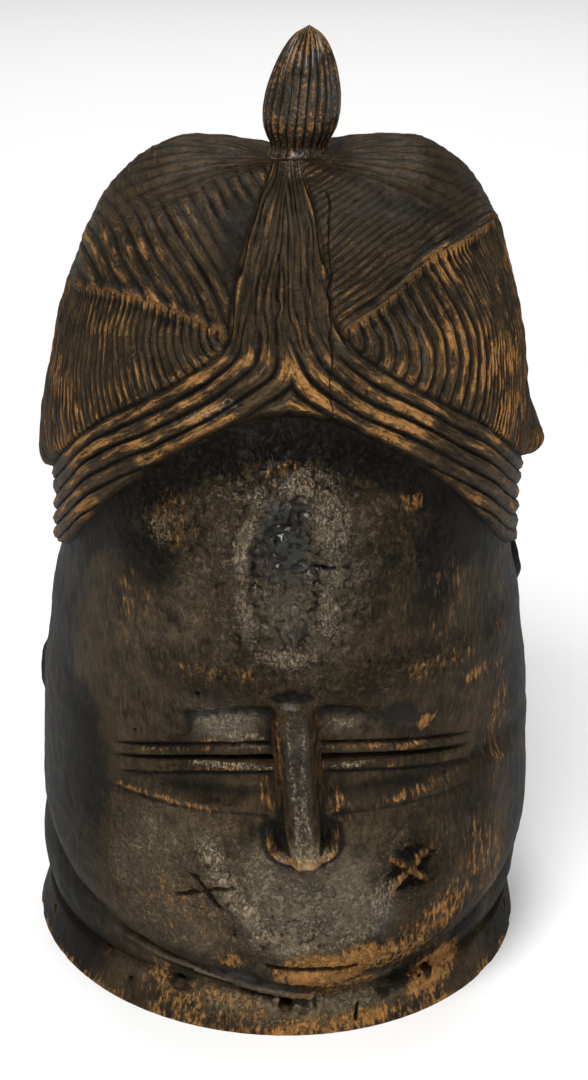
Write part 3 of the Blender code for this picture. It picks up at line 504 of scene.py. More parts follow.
def mouth_carving(x, z):
    """Rise of both lips, and the line between them with the hollow under it."""
    lip = z - (MOUTH_LEVEL * HEIGHT - MOUTH_SINK + MOUTH_CURVE * x ** 2 - MOUTH_SLANT * x)
    span = np.sqrt(np.clip(1 - (x / LIP_HALF_WIDTH) ** 2, 0.0, 1.0))
    soft = step(0.0, LIP_FADE, LIP_HALF_WIDTH + 0.008 - np.abs(x))
    lips = (UPPER_LIP_SHARE * bell(lip - UPPER_LIP_AT, UPPER_LIP_WIDTH)
            + LOWER_LIP_SHARE * bell(lip + LOWER_LIP_AT, LOWER_LIP_WIDTH))
    line = (MOUTH_LINE_DEPTH * bell(lip, MOUTH_LINE_WIDTH)
            + MOUTH_HOLLOW_DEPTH * bell(lip + MOUTH_HOLLOW_AT, MOUTH_HOLLOW_WIDTH))
    return LIP_RISE * soft * lips - span ** 0.4 * line


def cheek_carving(x, z, lumps):
    """Two crossed strokes on each cheek: cut in on one side, left standing in a pocket on the other."""
    depth = np.zeros_like(x)
    for mark_x, level, first_half, first_tilt, second_half, second_tilt, sunk in CHEEK_MARKS:
        dx, dz = x - mark_x, z - level * HEIGHT
        arms, clear = np.zeros_like(x), np.ones_like(x)
        for half, tilt in ((first_half, first_tilt), (second_half, second_tilt)):
            c, s = math.cos(math.radians(tilt)), math.sin(math.radians(tilt))
            length, width = c * dx + s * dz, c * dz - s * dx + 0.0006 * lumps
            held = step(0.0, MARK_FADE, half - np.abs(length))
            arms = np.maximum(arms, held * bell(width, MARK_WIDTH))
            arms -= MARK_EDGE_SHARE * held * bell(np.abs(width) - MARK_EDGE_AT, MARK_EDGE_WIDTH)
            clear *= 1.0 - bell(width, MARK_CLEARANCE)
        depth -= MARK_DEPTH * sunk * arms
        if sunk < 0:
            pocket = clear * step(POCKET_REACH, 0.6 * POCKET_REACH, np.hypot(dx, dz))
            depth -= POCKET_DEPTH * pocket * (1 + 0.4 * lumps)
    return depth


def face_carving(x, z, turn):
    """Depth of the carving on the face, outwards, from places across and up it."""
    lumps = wander(x, z, LUMP_SIZE, 3.1)
    depth = eye_carving(x, z) + swellings(x, z, lumps) + nose_carving(x, z) + mouth_carving(x, z)
    depth = (depth + cheek_carving(x, z, lumps)) * step(-0.15, 0.15, np.cos(turn))
    for degrees, level, rise in EARS:
        along = (turn - math.radians(degrees)) * HALF_WIDTH
        ear = np.hypot(along / EAR_HALF_WIDTH, (z - level * HEIGHT) / EAR_HALF_HEIGHT)
        depth = depth + rise * step(0.0, 0.6, 1.0 - ear)
    return depth


def crusted_and_highlit_edges(x, z):
    """Pale crust on the forehead ring, along the nose ridge in two lines, and on the nostrils' front, partly
    standing as a painted highlight on these raised edges.
    """
    around = 0.58 * bell(ring_share(x, z) - 1.0, 0.20) * (0.70 + 0.60 * wander(x, 0.6 * z, 0.014, 4.4))
    top, foot = BROW_LEVEL * HEIGHT, NOSE_FOOT * HEIGHT
    down = np.clip((top - z) / (top - foot), 0.0, 1.0)
    off_line = np.abs(x - NOSE_LEAN * (down - 0.5)) - 0.62 * nose_half_width(down)
    ridge = 0.72 * bell(off_line + 0.0006 * wander(x, z, 0.010, 3.3), 0.00065)
    ridge *= step(foot, foot + 0.006, z) * step(top, top - 0.006, z)
    ridge *= 0.75 + 0.45 * wander(x, z, 0.016, 1.4)
    nostrils = 0.56 * bell(nostril_line(x, z), 0.0013) * step(foot + 0.009, foot + 0.004, z)
    return np.maximum(np.maximum(around, ridge), nostrils * (0.7 + 0.6 * wander(x, z, 0.007, 2.2)))


def worn_edges(x, z):
    """Wear on the crests of the lids, which follow the eye line, and on the wings of the nostrils."""
    wide, off = np.abs(x), z - eye_line(x)
    held = step(0.074, 0.058, wide) * step(SLIT_INNER, SLIT_INNER + 0.003, wide)
    crests = np.maximum(0.44 * bell(off - UPPER_LID_CREST, 0.0010),
                        0.38 * bell(off + LOWER_LID_CREST, 0.0012))
    foot = NOSE_FOOT * HEIGHT
    nostrils = 0.66 * bell(nostril_line(x, z), 0.0016) * step(foot + 0.018, foot + 0.012, z)
    return np.maximum(crests * held * (0.85 + 0.45 * wander(x, z, 0.014, 2.6)), nostrils)


def hair_lines(x, y, z, turn, carving):
    """Which strands run where: phases that count the ridges across them, and how much each kind holds."""
    degrees = np.degrees(np.abs(turn))
    hairline = HEIGHT * through(HAIRLINE, degrees)
    side_on = bell((degrees - 90.0) / 36.0, 1.0)
    edge = HEIGHT * (through(LOBE_EDGE, degrees) + LOBE_EDGE_TILT * np.sign(x) * side_on)
    hair = step(0.0, HAIR_EDGE, z - hairline)
    centre = FORK_CENTRE + (HAIR_CENTRE - FORK_CENTRE) * step(0.70, 0.77, z / HEIGHT)
    across = x - centre
    band = through(PARTING_HALF, z / HEIGHT)
    from_side = (band - np.abs(across)) * (PARTING_HALF[1, 1] / band) ** 0.6
    into = greater(from_side, BAND_SLOPE * (edge - z), BAND_CORNER)
    plaited = step(-0.0005, 0.0010, into)
    right = x > centre
    folded = np.where(degrees < 90, degrees, 180 - degrees)
    parting = HEIGHT * np.where(right, through(PARTING_RIGHT, folded), through(PARTING_LEFT, folded))
    above = step(-PARTING_EDGE, PARTING_EDGE, z - parting)

    waver = 0.0008 * wander(x, z + 0.6 * y, 0.050, 0.7) + 0.0002 * wander(x, z - 0.5 * y, 0.016, 2.1)
    into = into + 0.6 * waver * step(0.0, 0.004, into)
    corner_y = np.where(np.cos(turn) > 0, -CORNER_FRONT * FRONT_REACH, CORNER_BACK * BACK_REACH)
    radius = np.sqrt((np.abs(across) - PARTING_HALF[0, 1]) ** 2 + (y - corner_y) ** 2
                     + (z - CORNER_LEVEL * HEIGHT) ** 2) + waver
    pitch = carving.lock_pitch
    bold = radius / pitch + np.maximum(radius - FINE_LOCKS_FROM, 0.0) * (1.0 / (0.5 * pitch) - 1.0 / pitch)
    below_phase = np.where(right, bold, radius / (LEFT_LOCK_PITCH * pitch))
    rise = LOOK_UP * z - LOOK_BACK * np.abs(y)
    above_phase = np.where(right, (-0.62 * x + 0.78 * rise + waver) / (RIGHT_CROWN_PITCH * pitch),
                           (0.87 * x + 0.50 * rise + waver) / pitch)
    knot_x, knot_rise = FAN_CENTRE[0], LOOK_UP * FAN_CENTRE[2] - LOOK_BACK * FAN_CENTRE[1]
    spoke = np.degrees(np.arctan2(knot_rise - rise, np.abs(x - knot_x) + 1e-6))
    reach = np.hypot(knot_rise - rise, x - knot_x)
    fan_phase = spoke / FAN_PITCH_DEGREES + 120.0 * waver
    fan = above * (1 - plaited) * step(*FAN_REACH, reach) * (1 - step(18.0, 34.0, spoke))
    plait_phase = into / carving.plait_pitch - 0.5
    column = plaited * step(COLUMN_FROM, COLUMN_TO, z / HEIGHT)
    column_phase = 2.0 * plait_phase + 0.45 * wander(x, 0.5 * z, 0.012, 3.7)
    lines = {"into": into, "plait": plait_phase, "lower": below_phase, "upper": above_phase, "fan": fan_phase,
             "column": column_phase}
    strands = ((plaited, into, 0.75 * np.abs(x) - 0.66 * z), ((1 - plaited) * (1 - above), radius, z),
               ((1 - plaited) * above * (1 - fan), pitch * above_phase,
                0.87 * rise - np.where(right, -0.78, 0.5) * x),
               (fan, 0.00035 * spoke, reach))
    grain = [hair * sum(share * value for share, value, _ in strands),
             hair * 0.16 * sum(share * value for share, _, value in strands),
             hair * 0.05 * (plaited + 2 * above * (1 - plaited))]
    grain = [grain[0] + (1 - hair) * x, grain[1] + (1 - hair) * y, grain[2] + (1 - hair) * 0.30 * z]
    smooth = 1.0 - patches(x, z, SMOOTH_HAIR) * (np.cos(turn) > 0)
    zones = {"plaited": hair * plaited, "lower": hair * (1 - plaited) * (1 - above),
             "upper": hair * (1 - plaited) * above * (1 - fan) * smooth, "fan": hair * fan, "hair": hair,
             "column": hair * column}
    places = {"across": across, "band": band, "parting": parting, "folded": folded, "right": right,
              "edge": edge, "side_on": side_on, "hairline": hairline, "grain": grain}
    return lines, zones, places


def hair_carving(x, z, lines, zones, places, carving):
    """Depth of the plaits, partings and locks: a ridge at each whole phase, deeper here and fainter there."""
    into, across, right = lines["into"], places["across"], places["right"]
    first, along = places["grain"][0], places["grain"][1]
    uneven = 1.0 + 0.55 * wander(first, 2.0 * along, 0.013, 4.2)
    broken = step(-0.75, 0.15, wander(1.4 * first, 3.0 * along, 0.011, 7.7))
    plaits = carving.plait_depth * (0.75 + 0.25 * uneven) * (crest(lines["plait"], 0.6) - 0.5)
    plaits += 0.00030 * uneven * crest(3.0 * lines["plait"], 1.0)
    column = zones["column"] / np.maximum(zones["hair"], 1e-6)
    combed = 0.5 * carving.plait_depth * (0.3 + 0.7 * broken) * (crest(lines["column"], 0.8) - 0.5)
    plaits = (1 - 0.72 * column) * plaits + column * combed
    inset = crest((x - FORK_CENTRE) / CROWN_INSET_PITCH) * step(0.0, 0.001, into - CROWN_INSET)
    plaits = np.where(into > CROWN_INSET, 0.4 * carving.plait_depth * inset, plaits)
    lower = np.where(right, 1.0, 0.72) * (crest(lines["lower"], 0.75) - 0.5)
    upper = np.where(right, 0.44, 0.95) * (0.3 + 0.7 * broken) * (crest(lines["upper"], 0.8) - 0.5)
    fan = 0.60 * (0.4 + 0.6 * broken) * (crest(lines["fan"], 0.8) - 0.5)
    ridge = (PARTING_RISE * bell(z - places["parting"], PARTING_BREADTH)
             * step(0.0, 0.004, np.abs(across) - places["band"])
             * step(0.0, 25.0, 78.0 - places["folded"]) * (0.8 + 0.2 * uneven))
    up_tip = z - LOBE_TIP_LEVEL * HEIGHT
    reach_up = np.where(up_tip < 0, LOBE_TIP_DOWN, np.where(right, LOBE_TIP_UP_RIGHT, LOBE_TIP_UP_LEFT))
    roll = np.clip((z - places["edge"]) / np.where(right, LOBE_ROLL_RIGHT, LOBE_ROLL_LEFT), 0.0, 1.0)
    flare = np.where(right, LOBE_TIP_RIGHT, LOBE_TIP_LEFT) * places["side_on"] * bell(up_tip / reach_up, 1.0)
    flare = flare * np.sqrt(np.clip(1.0 - (1.0 - roll) ** 2, 0.0, 1.0))
    lobe_share = np.maximum(zones["lower"] + zones["upper"] + zones["fan"], 1e-6)
    kinds = lower * zones["lower"] + upper * zones["upper"] + fan * zones["fan"]
    lobe = LOBE_RISE + flare + carving.lock_depth * uneven * kinds / np.maximum(lobe_share, 0.5) + ridge
    valley = -VALLEY_DEPTH * bell(across, VALLEY_WIDTH) * step(0.0, 0.05, z - 0.70 * HEIGHT)
    share = zones["plaited"] / np.maximum(zones["hair"], 1e-6)
    return HAIR_STEP + share * plaits + (1 - share) * lobe + valley


def lined(x, z, table, waver=0.0):
    """Round-ended ridges along a table of lines: the rise times a bell of the distance off the line."""
    total = np.zeros_like(x)
    for line in table:
        x0, z0, x1, z1, width, rise = (MM * value for value in line)
        length = math.hypot(x1 - x0, z1 - z0)
        ux, uz = (x1 - x0) / length, (z1 - z0) / length
        along = (x - x0) * ux + (z - z0) * uz
        aside = (z - z0) * ux - (x - x0) * uz + waver
        past = np.maximum(np.maximum(-along, along - length), 0.0)
        total = np.maximum(total, rise * bell(np.hypot(aside, past), width))
    return total


def cracks(x, z):
    """Depth of the cracks and pinholes."""
    depth = lined(x, z, CRACKS, 0.0006 * wander(x, z, 0.011, 5.1))
    for hole in PINHOLES:
        at_x, at_z, radius = (MM * value for value in hole)
        depth = np.maximum(depth, 0.0016 * bell(np.hypot(x - at_x, z - at_z), radius))
    return depth


def grid_normals(x, y, z):
    """Unit normals of a web of rows and columns whose columns close on themselves."""
    def around(a):
        return np.roll(a, -1, axis=1) - np.roll(a, 1, axis=1)

    def up(a):
        return np.gradient(a, axis=0)
    ax, ay, az, bx, by, bz = around(x), around(y), around(z), up(x), up(y), up(z)
    n = np.stack([ay * bz - az * by, az * bx - ax * bz, ax * by - ay * bx])
    return n / np.maximum(np.linalg.norm(n, axis=0), 1e-12)


def set_on_axis(rings):
    """The same points turned and moved aside with their height, and the whole put on its origin."""
    share = rings[..., 2] / HEIGHT
    aside = through(SET, share, 1) + TO_ORIGIN[0]
    turn = np.radians(through(SET, share, 2))
    x, y, c, s = rings[..., 0], rings[..., 1], np.cos(turn), np.sin(turn)
    return np.stack([x * c - y * s + aside, x * s + y * c + TO_ORIGIN[1], rings[..., 2]], axis=-1)


def surface_roughness(x, y, z, hair, crackle):
    """Depth of the flaked patina, of the unevenness of the hair and of the marks of the carver's tool."""
    flakes = (0.0010 * np.abs(wander(x, 0.8 * z, 0.0075, 1.3))
              + 0.0006 * np.abs(wander(x, 0.7 * z, 0.0042, 2.3)))
    rough = crackle * (flakes - 0.0006) + 0.00018 * hair * wander(x + 0.6 * y, z + 0.3 * y, 0.0120, 5.3)
    tooling = 0.00024 * wander(x, z + 0.5 * y, 0.030, 0.4) + 0.00012 * wander(x + 0.7 * y, z, 0.009, 2.9)
    return rough + tooling * step(0.0, 0.006, z)


def body_finish(x, z, turn, lines, zones, places, front, lip):
    """Where the skin is worn, pale with crust and in places a painted highlight, black with stain and in
    places painted shade, glossy or under a film, each from 0 to 1.
    """
    hair, right, below_hair = zones["hair"], places["right"], places["hairline"] - z
    degrees = np.degrees(np.abs(turn))
    worn_hair = sum(zones[kind] * np.where(right, right_wear, left_wear)
                    for kind, left_wear, right_wear in HAIR_WEAR)
    worn_hair *= 1.0 + 0.55 * wander(x, z, 0.036, 1.9)
    bare_band = bell((below_hair + 0.0010) / 0.0018, 1.0) * (0.34 + 0.20 * (x < 0))
    parting_line = bell(z - places["parting"], 0.0019) * (1 - zones["plaited"]) * hair
    band_edge = bell(lines["into"] - 0.0016, 0.0016) * hair * step(0.70, 0.73, z / HEIGHT)
    rim_edge = bell(z / 0.0045, 1.0) * (0.46 + 0.25 * wander(turn * 0.1, z, 0.020, 0.9))
    worn = np.maximum(patches(x, z, WORN_PATCHES) * front, np.maximum(bare_band, rim_edge))
    worn = np.maximum(worn, worn_edges(x, z) * front)
    worn_hair = np.maximum(worn_hair, np.maximum(0.58 * parting_line, 0.55 * band_edge))
    worn = np.maximum(worn * (1 - hair), worn_hair)
    pale = np.maximum(patches(x, z, PALE_PATCHES), crusted_and_highlit_edges(x, z)) * front
    film = np.maximum(patches(x, z, FILM_PATCHES) * front, np.minimum(lip / 0.0040, 0.8))
    shade_band = step(0.026, 0.008, below_hair) * step(-0.001, 0.003, below_hair) * step(62.0, 40.0, degrees)
    side = step(36.0, 56.0, degrees) * (1 - hair)
    black = np.maximum(patches(x, z, BLACK_PATCHES) * front, 0.92 * shade_band) * (1 - hair)
    # The sides of the face are made black, partly as painted shade where they turn away from the light
    black = np.maximum(black, SIDE_BLACK_AND_SHADE * side)
    jaw = jaw_level(turn)
    gloss = np.maximum(patches(x, z, GLOSS_PATCHES) * front, SIDE_GLOSS * side * step(jaw, jaw + 0.02, z))
    gloss = np.maximum(gloss, np.minimum(lip / 0.0040, 1.0))
    return worn, pale, black, gloss, film


def body_web(carving):
    """The carved outside, from the rim up to the foot of the knob: its points and the finish at each."""
    turn, share = np.meshgrid(turns(carving.columns), np.linspace(0.0, LAST_GIRTH, carving.rows))
    reach, z = plain_form(turn, share)
    jaw = jaw_level(turn)
    under = np.clip((z - jaw) / JAW_ROUNDING, 0.0, 1.0)
    neck = neck_form(turn, z)
    reach = np.where(z < jaw, neck, neck + (reach - neck) * np.sqrt(1.0 - (1.0 - under) ** 2))
    x, y = reach * np.sin(turn), -reach * np.cos(turn)
    normal = grid_normals(x, y, z)
    front = step(-0.15, 0.15, np.cos(turn))

    lines, zones, places = hair_lines(x, y, z, turn, carving)
    hair = zones["hair"]
    hair_depth = hair_carving(x, z, lines, zones, places, carving)
    face_depth = face_carving(x, z, turn) * step(0.0, 0.010, z - jaw - 0.001)
    depth = (hair * hair_depth + (1.0 - hair) * face_depth) * step(0.0, 0.02, LAST_GIRTH - share)
    crackle = patches(x, z, CRACKLE_PATCHES) * front * (1 - hair)
    crack = cracks(x, z) * front
    chips = step(0.50, 0.95, wander(turn * 0.1, 0.3 * z, 0.034, 6.1)) * bell(z / 0.0028, 1.0)
    lip = lined(x, z, NECK_LIP) * front
    depth += surface_roughness(x, y, z, hair, crackle) + lip - crack - CHIP_DEPTH * chips - SKIN_INSET
    x2, y2, z2 = np.stack([x, y, z]) + normal * depth
    z2[0] = 0.0

    relief = np.clip((depth - blurred(depth, 6)) / 0.0010, -1.0, 1.0)
    worn, pale, black, gloss, film = body_finish(x, z, turn, lines, zones, places, front, lip)
    scratch = (1 - hair) * (0.35 + 0.65 * step(0.120, 0.175, z)) * step(62.0, 40.0, np.degrees(np.abs(turn)))
    zero = np.zeros_like(x)
    values = {
        "lines": (lines["plait"], lines["lower"], lines["upper"]),
        "more_lines": (lines["fan"], lines["column"], crack / 0.001),
        "zones": (zones["plaited"] - 0.7 * zones["column"], zones["lower"], zones["upper"]),
        "more_zones": (zones["fan"], 0.7 * zones["column"], hair),
        "wear": (worn, pale, black),
        "surface": (gloss, crackle, film),
        "form": (relief, zero, scratch),
        "grain": tuple(places["grain"]),
    }
    return np.stack([x2, y2, z2], axis=-1), values


def knob_web(carving, foot):
    """The bud on the crown, fluted, growing from the last girth line."""
    turn = turns(carving.columns)
    share = np.linspace(0.0, 1.0, KNOB_ROWS + 1)[1:, None]
    phase = KNOB_FLUTES * turn / (2 * math.pi) + 0.15 * wander(turn * 0.02, share * 0.05, 0.03, 0.8)
    reach = KNOB_HALF_WIDTH * through(KNOB_PROFILE, share)
    flute = KNOB_FLUTE_DEPTH * (crest(phase) - 1.0) * step(0.0, 0.15, share) * step(0.0, 0.08, 1.0 - share)
    reach = np.maximum(reach + flute, 0.0)
    level = foot[:, 2] + (HEIGHT - foot[:, 2]) * share
    worn = 0.42 + 0.20 * bell((share - 0.95) / 0.14, 1.0)
    worn = worn + 0.20 * wander(turn * 0.02, share * 0.05, 0.02, 3.0)
    full = np.ones_like(reach)
    none = np.zeros_like(reach)
    values = {
        "lines": (none, none, none),
        "more_lines": (none, phase * full, none),
        "zones": (none, none, none),
        "more_zones": (none, full, full),
        # The pale at mid height of the knob a little left of its front, and the grey film over the same place
        # on the next line, are partly pale streaks and partly a painted highlight where the knob faces the
        # light
        "wear": (worn * full, 0.30 * bell((share - 0.35) / 0.2, 1.0) * bell(turn + 0.1, 0.35), 0.30 * full),
        "surface": (full, none, 0.45 * bell(turn + 0.1, 0.5) * bell((share - 0.4) / 0.3, 1.0)),
        "form": (flute / 0.0008 + 0.5, none, none),
        "grain": (0.016 * turn * full, 0.06 * share * full, 0.3 * full),
    }
    return np.stack([reach * np.sin(turn), -reach * np.cos(turn), level], axis=-1), values


def hollow_web(columns, rows):
    """The cavity for the head, from its domed ceiling down to the rim: girth lines drawn in by the wall."""
    turn, share = np.meshgrid(turns(columns), np.linspace(LAST_GIRTH, 0.0, rows))
    reach = oval(turn, HALF_WIDTH * through(GIRTHS, share, 1), FRONT_REACH * through(GIRTHS, share, 2),
                 BACK_REACH * through(GIRTHS, share, 3), RIM_OVAL) * (1.0 - WALL / HALF_WIDTH)
    level = plain_form(turn, share)[1] * (CROWN_HEIGHT - CROWN_THICKNESS) / CROWN_HEIGHT
    across = reach * turn / GOUGE_WIDTH + 0.3 * wander(turn * 0.1, level, 0.05, 1.1)
    reach = reach + GOUGE_DEPTH * crest(across) * crest(level / GOUGE_LENGTH) * step(0.0, 0.01, level)
    level[-1] = 0.0
    return np.stack([reach * np.sin(turn), -reach * np.cos(turn), level], axis=-1)


def same_everywhere(rings, inside, worn):
    """Finish values of a plain stretch of the web."""
    shape = rings.shape[:2]
    none, full = np.zeros(shape), np.ones(shape)
    values = dict.fromkeys(("lines", "more_lines", "zones", "more_zones", "surface"), (none, none, none))
    values.update(wear=(worn * full, none, none), form=(none, inside * full, 0.3 * full),
                  grain=(rings[..., 0], rings[..., 1], 0.30 * rings[..., 2]))
    return values


def closed_mesh(name, rings, first, last, values):
    """A closed mesh from rings of points in order, with a point at each end, and its named finish values."""
    rows, columns, _ = rings.shape
    points = np.concatenate([rings.reshape(-1, 3), [first, last]])
    here = np.arange(rows * columns).reshape(rows, columns)
    beside = np.roll(here, -1, axis=1)
    quads = np.stack([here[:-1], beside[:-1], beside[1:], here[1:]], axis=-1).reshape(-1)
    start = np.stack([np.full(columns, len(points) - 2), beside[0], here[0]], axis=-1).reshape(-1)
    end = np.stack([np.full(columns, len(points) - 1), here[-1], beside[-1]], axis=-1).reshape(-1)
    corners = np.concatenate([quads, start, end]).astype(np.int32)
    quad_count = len(quads) // 4
    starts = np.concatenate([np.arange(quad_count) * 4, quad_count * 4 + np.arange(2 * columns) * 3])
    mesh = bpy.data.meshes.new(name)
    mesh.vertices.add(len(points))
    mesh.vertices.foreach_set("co", points.astype(np.float32).ravel())
    mesh.loops.add(len(corners))
    mesh.loops.foreach_set("vertex_index", corners)
    mesh.polygons.add(len(starts))
    mesh.polygons.foreach_set("loop_start", starts.astype(np.int32))
    mesh.update(calc_edges=True)
    for label, triple in values.items():
        data = np.stack([np.broadcast_to(v, (rows, columns)) for v in triple], axis=-1).reshape(-1, 3)
        data = np.concatenate([data, data[:1], data[-1:]]).astype(np.float32)
        mesh.attributes.new(label, "FLOAT_VECTOR", "POINT").data.foreach_set("vector", data.ravel())
    return mesh


def tube_rings(centres, radii, along, sides):
    """Rings of points round each centre, across one direction: what a drilled hole takes out."""
    angle = np.linspace(0.0, 2.0 * math.pi, sides, endpoint=False)
    side = np.cross(along, (0.0, 0.0, 1.0))
    up = np.cross(side, along)
    ring = np.cos(angle)[:, None] * side - np.sin(angle)[:, None] * up
    return centres[:, None, :] + radii[:, None, None] * ring[None]


def cutting_mesh(name, solids):
    """One mesh of separate closed solids, each a run of rings with flat ends, facing outwards."""
    points, faces, base = [], [], 0
    for rings in solids:
        rows, sides, _ = rings.shape
        here = base + np.arange(rows * sides).reshape(rows, sides)
        beside = np.roll(here, -1, axis=1)
        faces += np.stack([here[:-1], beside[:-1], beside[1:], here[1:]], axis=-1).reshape(-1, 4).tolist()
        faces += [here[0][::-1].tolist(), here[-1].tolist()]
        points.append(set_on_axis(rings).reshape(-1, 3))
        base += rows * sides
    mesh = bpy.data.meshes.new(name)
    mesh.from_pydata(np.concatenate(points).tolist(), [], faces)
    # The walls left by the cuts are marked black, a painted shade inside the eye slits and tie holes
    mesh.attributes.new("wear", "FLOAT_VECTOR", "POINT").data.foreach_set("vector", [0.0, 0.0, 1.0] * base)
    return mesh


def openings_mesh():
    """What is cut through the wall: both eye slits along the eye line, and the tie holes in the flange."""
    solids = []
    for side, outer in ((-1, SLIT_LEFT_END), (1, SLIT_RIGHT_END)):
        share = np.linspace(0.0, 1.0, SLIT_STATIONS)
        wide = SLIT_INNER + (outer - SLIT_INNER) * share
        half = 0.5 * SLIT_HEIGHT * (1.0 - 0.85 * share ** 3)
        level = EYE_LEVEL * HEIGHT - EYE_DROOP * wide ** 2
        corners = ((-SLIT_FAR, -1), (-SLIT_FAR, 1), (-SLIT_NEAR, 1), (-SLIT_NEAR, -1))
        rings = np.stack([np.stack([side * wide, np.full_like(wide, y), level + s * half], axis=-1)
                          for y, s in corners[::-side]], axis=1)
        solids.append(rings)
    for degrees, level, diameter in TIE_HOLES:
        turn = math.radians(degrees)
        out = np.array((math.sin(turn), -math.cos(turn), 0.0))
        reach = float(neck_form(np.array(turn), np.array(level)))
        far = np.array([reach - 3.0 * WALL, reach - 0.6 * WALL, reach, reach + WALL])
        centres = out[None] * far[:, None] + np.array((0.0, 0.0, level))
        radii = 0.5 * diameter * np.array([1.0, 1.0, 1.12, 1.12])
        solids.append(tube_rings(centres, radii, out, 16))
    return cutting_mesh("openings", solids)


def without_spare_points(mesh):
    """Takes out the points that the cuts leave in the middle of straight edges, where no third edge meets."""
    work = bmesh.new()
    work.from_mesh(mesh)
    bmesh.ops.remove_doubles(work, verts=work.verts, dist=0.00001)
    bmesh.ops.dissolve_verts(work, verts=[v for v in work.verts if len(v.link_edges) == 2])
    work.to_mesh(mesh)
    work.free()


# Shader nodes

def socket(tree, name, kind, out=False):
    """Adds a named input or output to a node group."""
    return tree.interface.new_socket(name=name, in_out="OUTPUT" if out else "INPUT", socket_type=kind)


def joined(tree, node, values):
    """Sets a node's inputs in order: a socket is linked, a plain value is set, and None is left."""
    for i, value in enumerate(values):
        if value is None:
            continue
        if isinstance(value, bpy.types.NodeSocket):
            tree.links.new(value, node.inputs[i])
        else:
            node.inputs[i].default_value = value
    return node


def maths(tree, operation, *values, clamp=False):
    node = tree.nodes.new("ShaderNodeMath")
    node.operation = operation
    node.use_clamp = clamp
    return joined(tree, node, values).outputs[0]


def times(tree, a, b):
    return maths(tree, "MULTIPLY", a, b)


def scaled(tree, value, factor, added, clamp=False):
    """The value times the factor, plus what is added."""
    return maths(tree, "MULTIPLY_ADD", value, factor, added, clamp=clamp)


def ramp(tree, value, low, high):
    """0 where the value is below low, 1 above high, smooth between. High may be the smaller one."""
    node = tree.nodes.new("ShaderNodeMapRange")
    node.interpolation_type = "SMOOTHSTEP"
    turned = isinstance(low, float) and isinstance(high, float) and low > high
    ends = (high, low, 1.0, 0.0) if turned else (low, high, 0.0, 1.0)
    return joined(tree, node, (value,) + ends).outputs[0]


def mixed(tree, factor, a, b):
    """Colour a where the factor is 0, and b where it is 1."""
    node = tree.nodes.new("ShaderNodeMix")
    node.data_type = "RGBA"
    for key, value in (("Factor_Float", factor), ("A_Color", a), ("B_Color", b)):
        target = next(s for s in node.inputs if s.identifier == key)
        if isinstance(value, bpy.types.NodeSocket):
            tree.links.new(value, target)
        else:
            target.default_value = value
    return next(s for s in node.outputs if s.identifier == "Result_Color")


def noise(tree, vector, scale, detail=3.0, roughness=0.6):
    """Fractal noise from 0 to 1 round 0.5."""
    node = tree.nodes.new("ShaderNodeTexNoise")
    tree.links.new(vector, node.inputs["Vector"])
    node.inputs["Scale"].default_value = scale
    node.inputs["Detail"].default_value = detail
    node.inputs["Roughness"].default_value = roughness
    return node.outputs["Fac"]


def split(tree, name):
    """The three values of a named finish attribute."""
    node = tree.nodes.new("ShaderNodeAttribute")
    node.attribute_type = "GEOMETRY"
    node.attribute_name = name
    parts = tree.nodes.new("ShaderNodeSeparateXYZ")
    tree.links.new(node.outputs["Vector"], parts.inputs[0])
    return parts.outputs


def crest_group():
    """Carved ridges from a phase: 1 on each whole phase, 0 half way between."""
    tree = bpy.data.node_groups.new("carved_ridges", "ShaderNodeTree")
    socket(tree, "Phase", "NodeSocketFloat")
    socket(tree, "Sharpness", "NodeSocketFloat")
    socket(tree, "Ridge", "NodeSocketFloat", out=True)
    given, made = tree.nodes.new("NodeGroupInput"), tree.nodes.new("NodeGroupOutput")
    wave = maths(tree, "COSINE", times(tree, given.outputs["Phase"], math.pi))
    ridge = maths(tree, "POWER", maths(tree, "ABSOLUTE", wave), given.outputs["Sharpness"])
    tree.links.new(ridge, made.inputs["Ridge"])
    return tree


def torn_group():
    """A mask with a torn edge: the smooth mask plus noise, cut off over a narrow range."""
    tree = bpy.data.node_groups.new("torn_edge", "ShaderNodeTree")
    for name in ("Mask", "Noise", "Spread", "Softness"):
        socket(tree, name, "NodeSocketFloat")
    socket(tree, "Torn", "NodeSocketFloat", out=True)
    given, made = tree.nodes.new("NodeGroupInput"), tree.nodes.new("NodeGroupOutput")
    centred = maths(tree, "SUBTRACT", given.outputs["Noise"], 0.5)
    moved = scaled(tree, centred, given.outputs["Spread"], given.outputs["Mask"])
    low = maths(tree, "SUBTRACT", 0.5, given.outputs["Softness"])
    high = maths(tree, "ADD", 0.5, given.outputs["Softness"])
    tree.links.new(ramp(tree, moved, low, high), made.inputs["Torn"])
    return tree


def flaking_group():
    """Crazed, flaking patina: lumps and ragged gaps from folded noise, as a height and a mask of the gaps."""
    tree = bpy.data.node_groups.new("flaking", "ShaderNodeTree")
    socket(tree, "Vector", "NodeSocketVector")
    socket(tree, "Lumps", "NodeSocketFloat", out=True)
    socket(tree, "Gap", "NodeSocketFloat", out=True)
    given, made = tree.nodes.new("NodeGroupInput"), tree.nodes.new("NodeGroupOutput")
    coarse = noise(tree, given.outputs["Vector"], 430.0, 5.0, 0.68)
    folded = maths(tree, "ABSOLUTE", maths(tree, "SUBTRACT", coarse, 0.5))
    gap = ramp(tree, folded, 0.035, 0.004)
    broken = ramp(tree, noise(tree, given.outputs["Vector"], 120.0, 3.0, 0.6), 0.42, 0.58)
    gap = times(tree, gap, broken)
    lumps = maths(tree, "SUBTRACT", scaled(tree, folded, 1.6, coarse), times(tree, gap, 0.25))
    tree.links.new(lumps, made.inputs["Lumps"])
    tree.links.new(gap, made.inputs["Gap"])
    return tree


def placed(tree, group, *values):
    """A node group put into a material, with its inputs in order."""
    node = tree.nodes.new("ShaderNodeGroup")
    node.node_tree = group
    return joined(tree, node, values).outputs


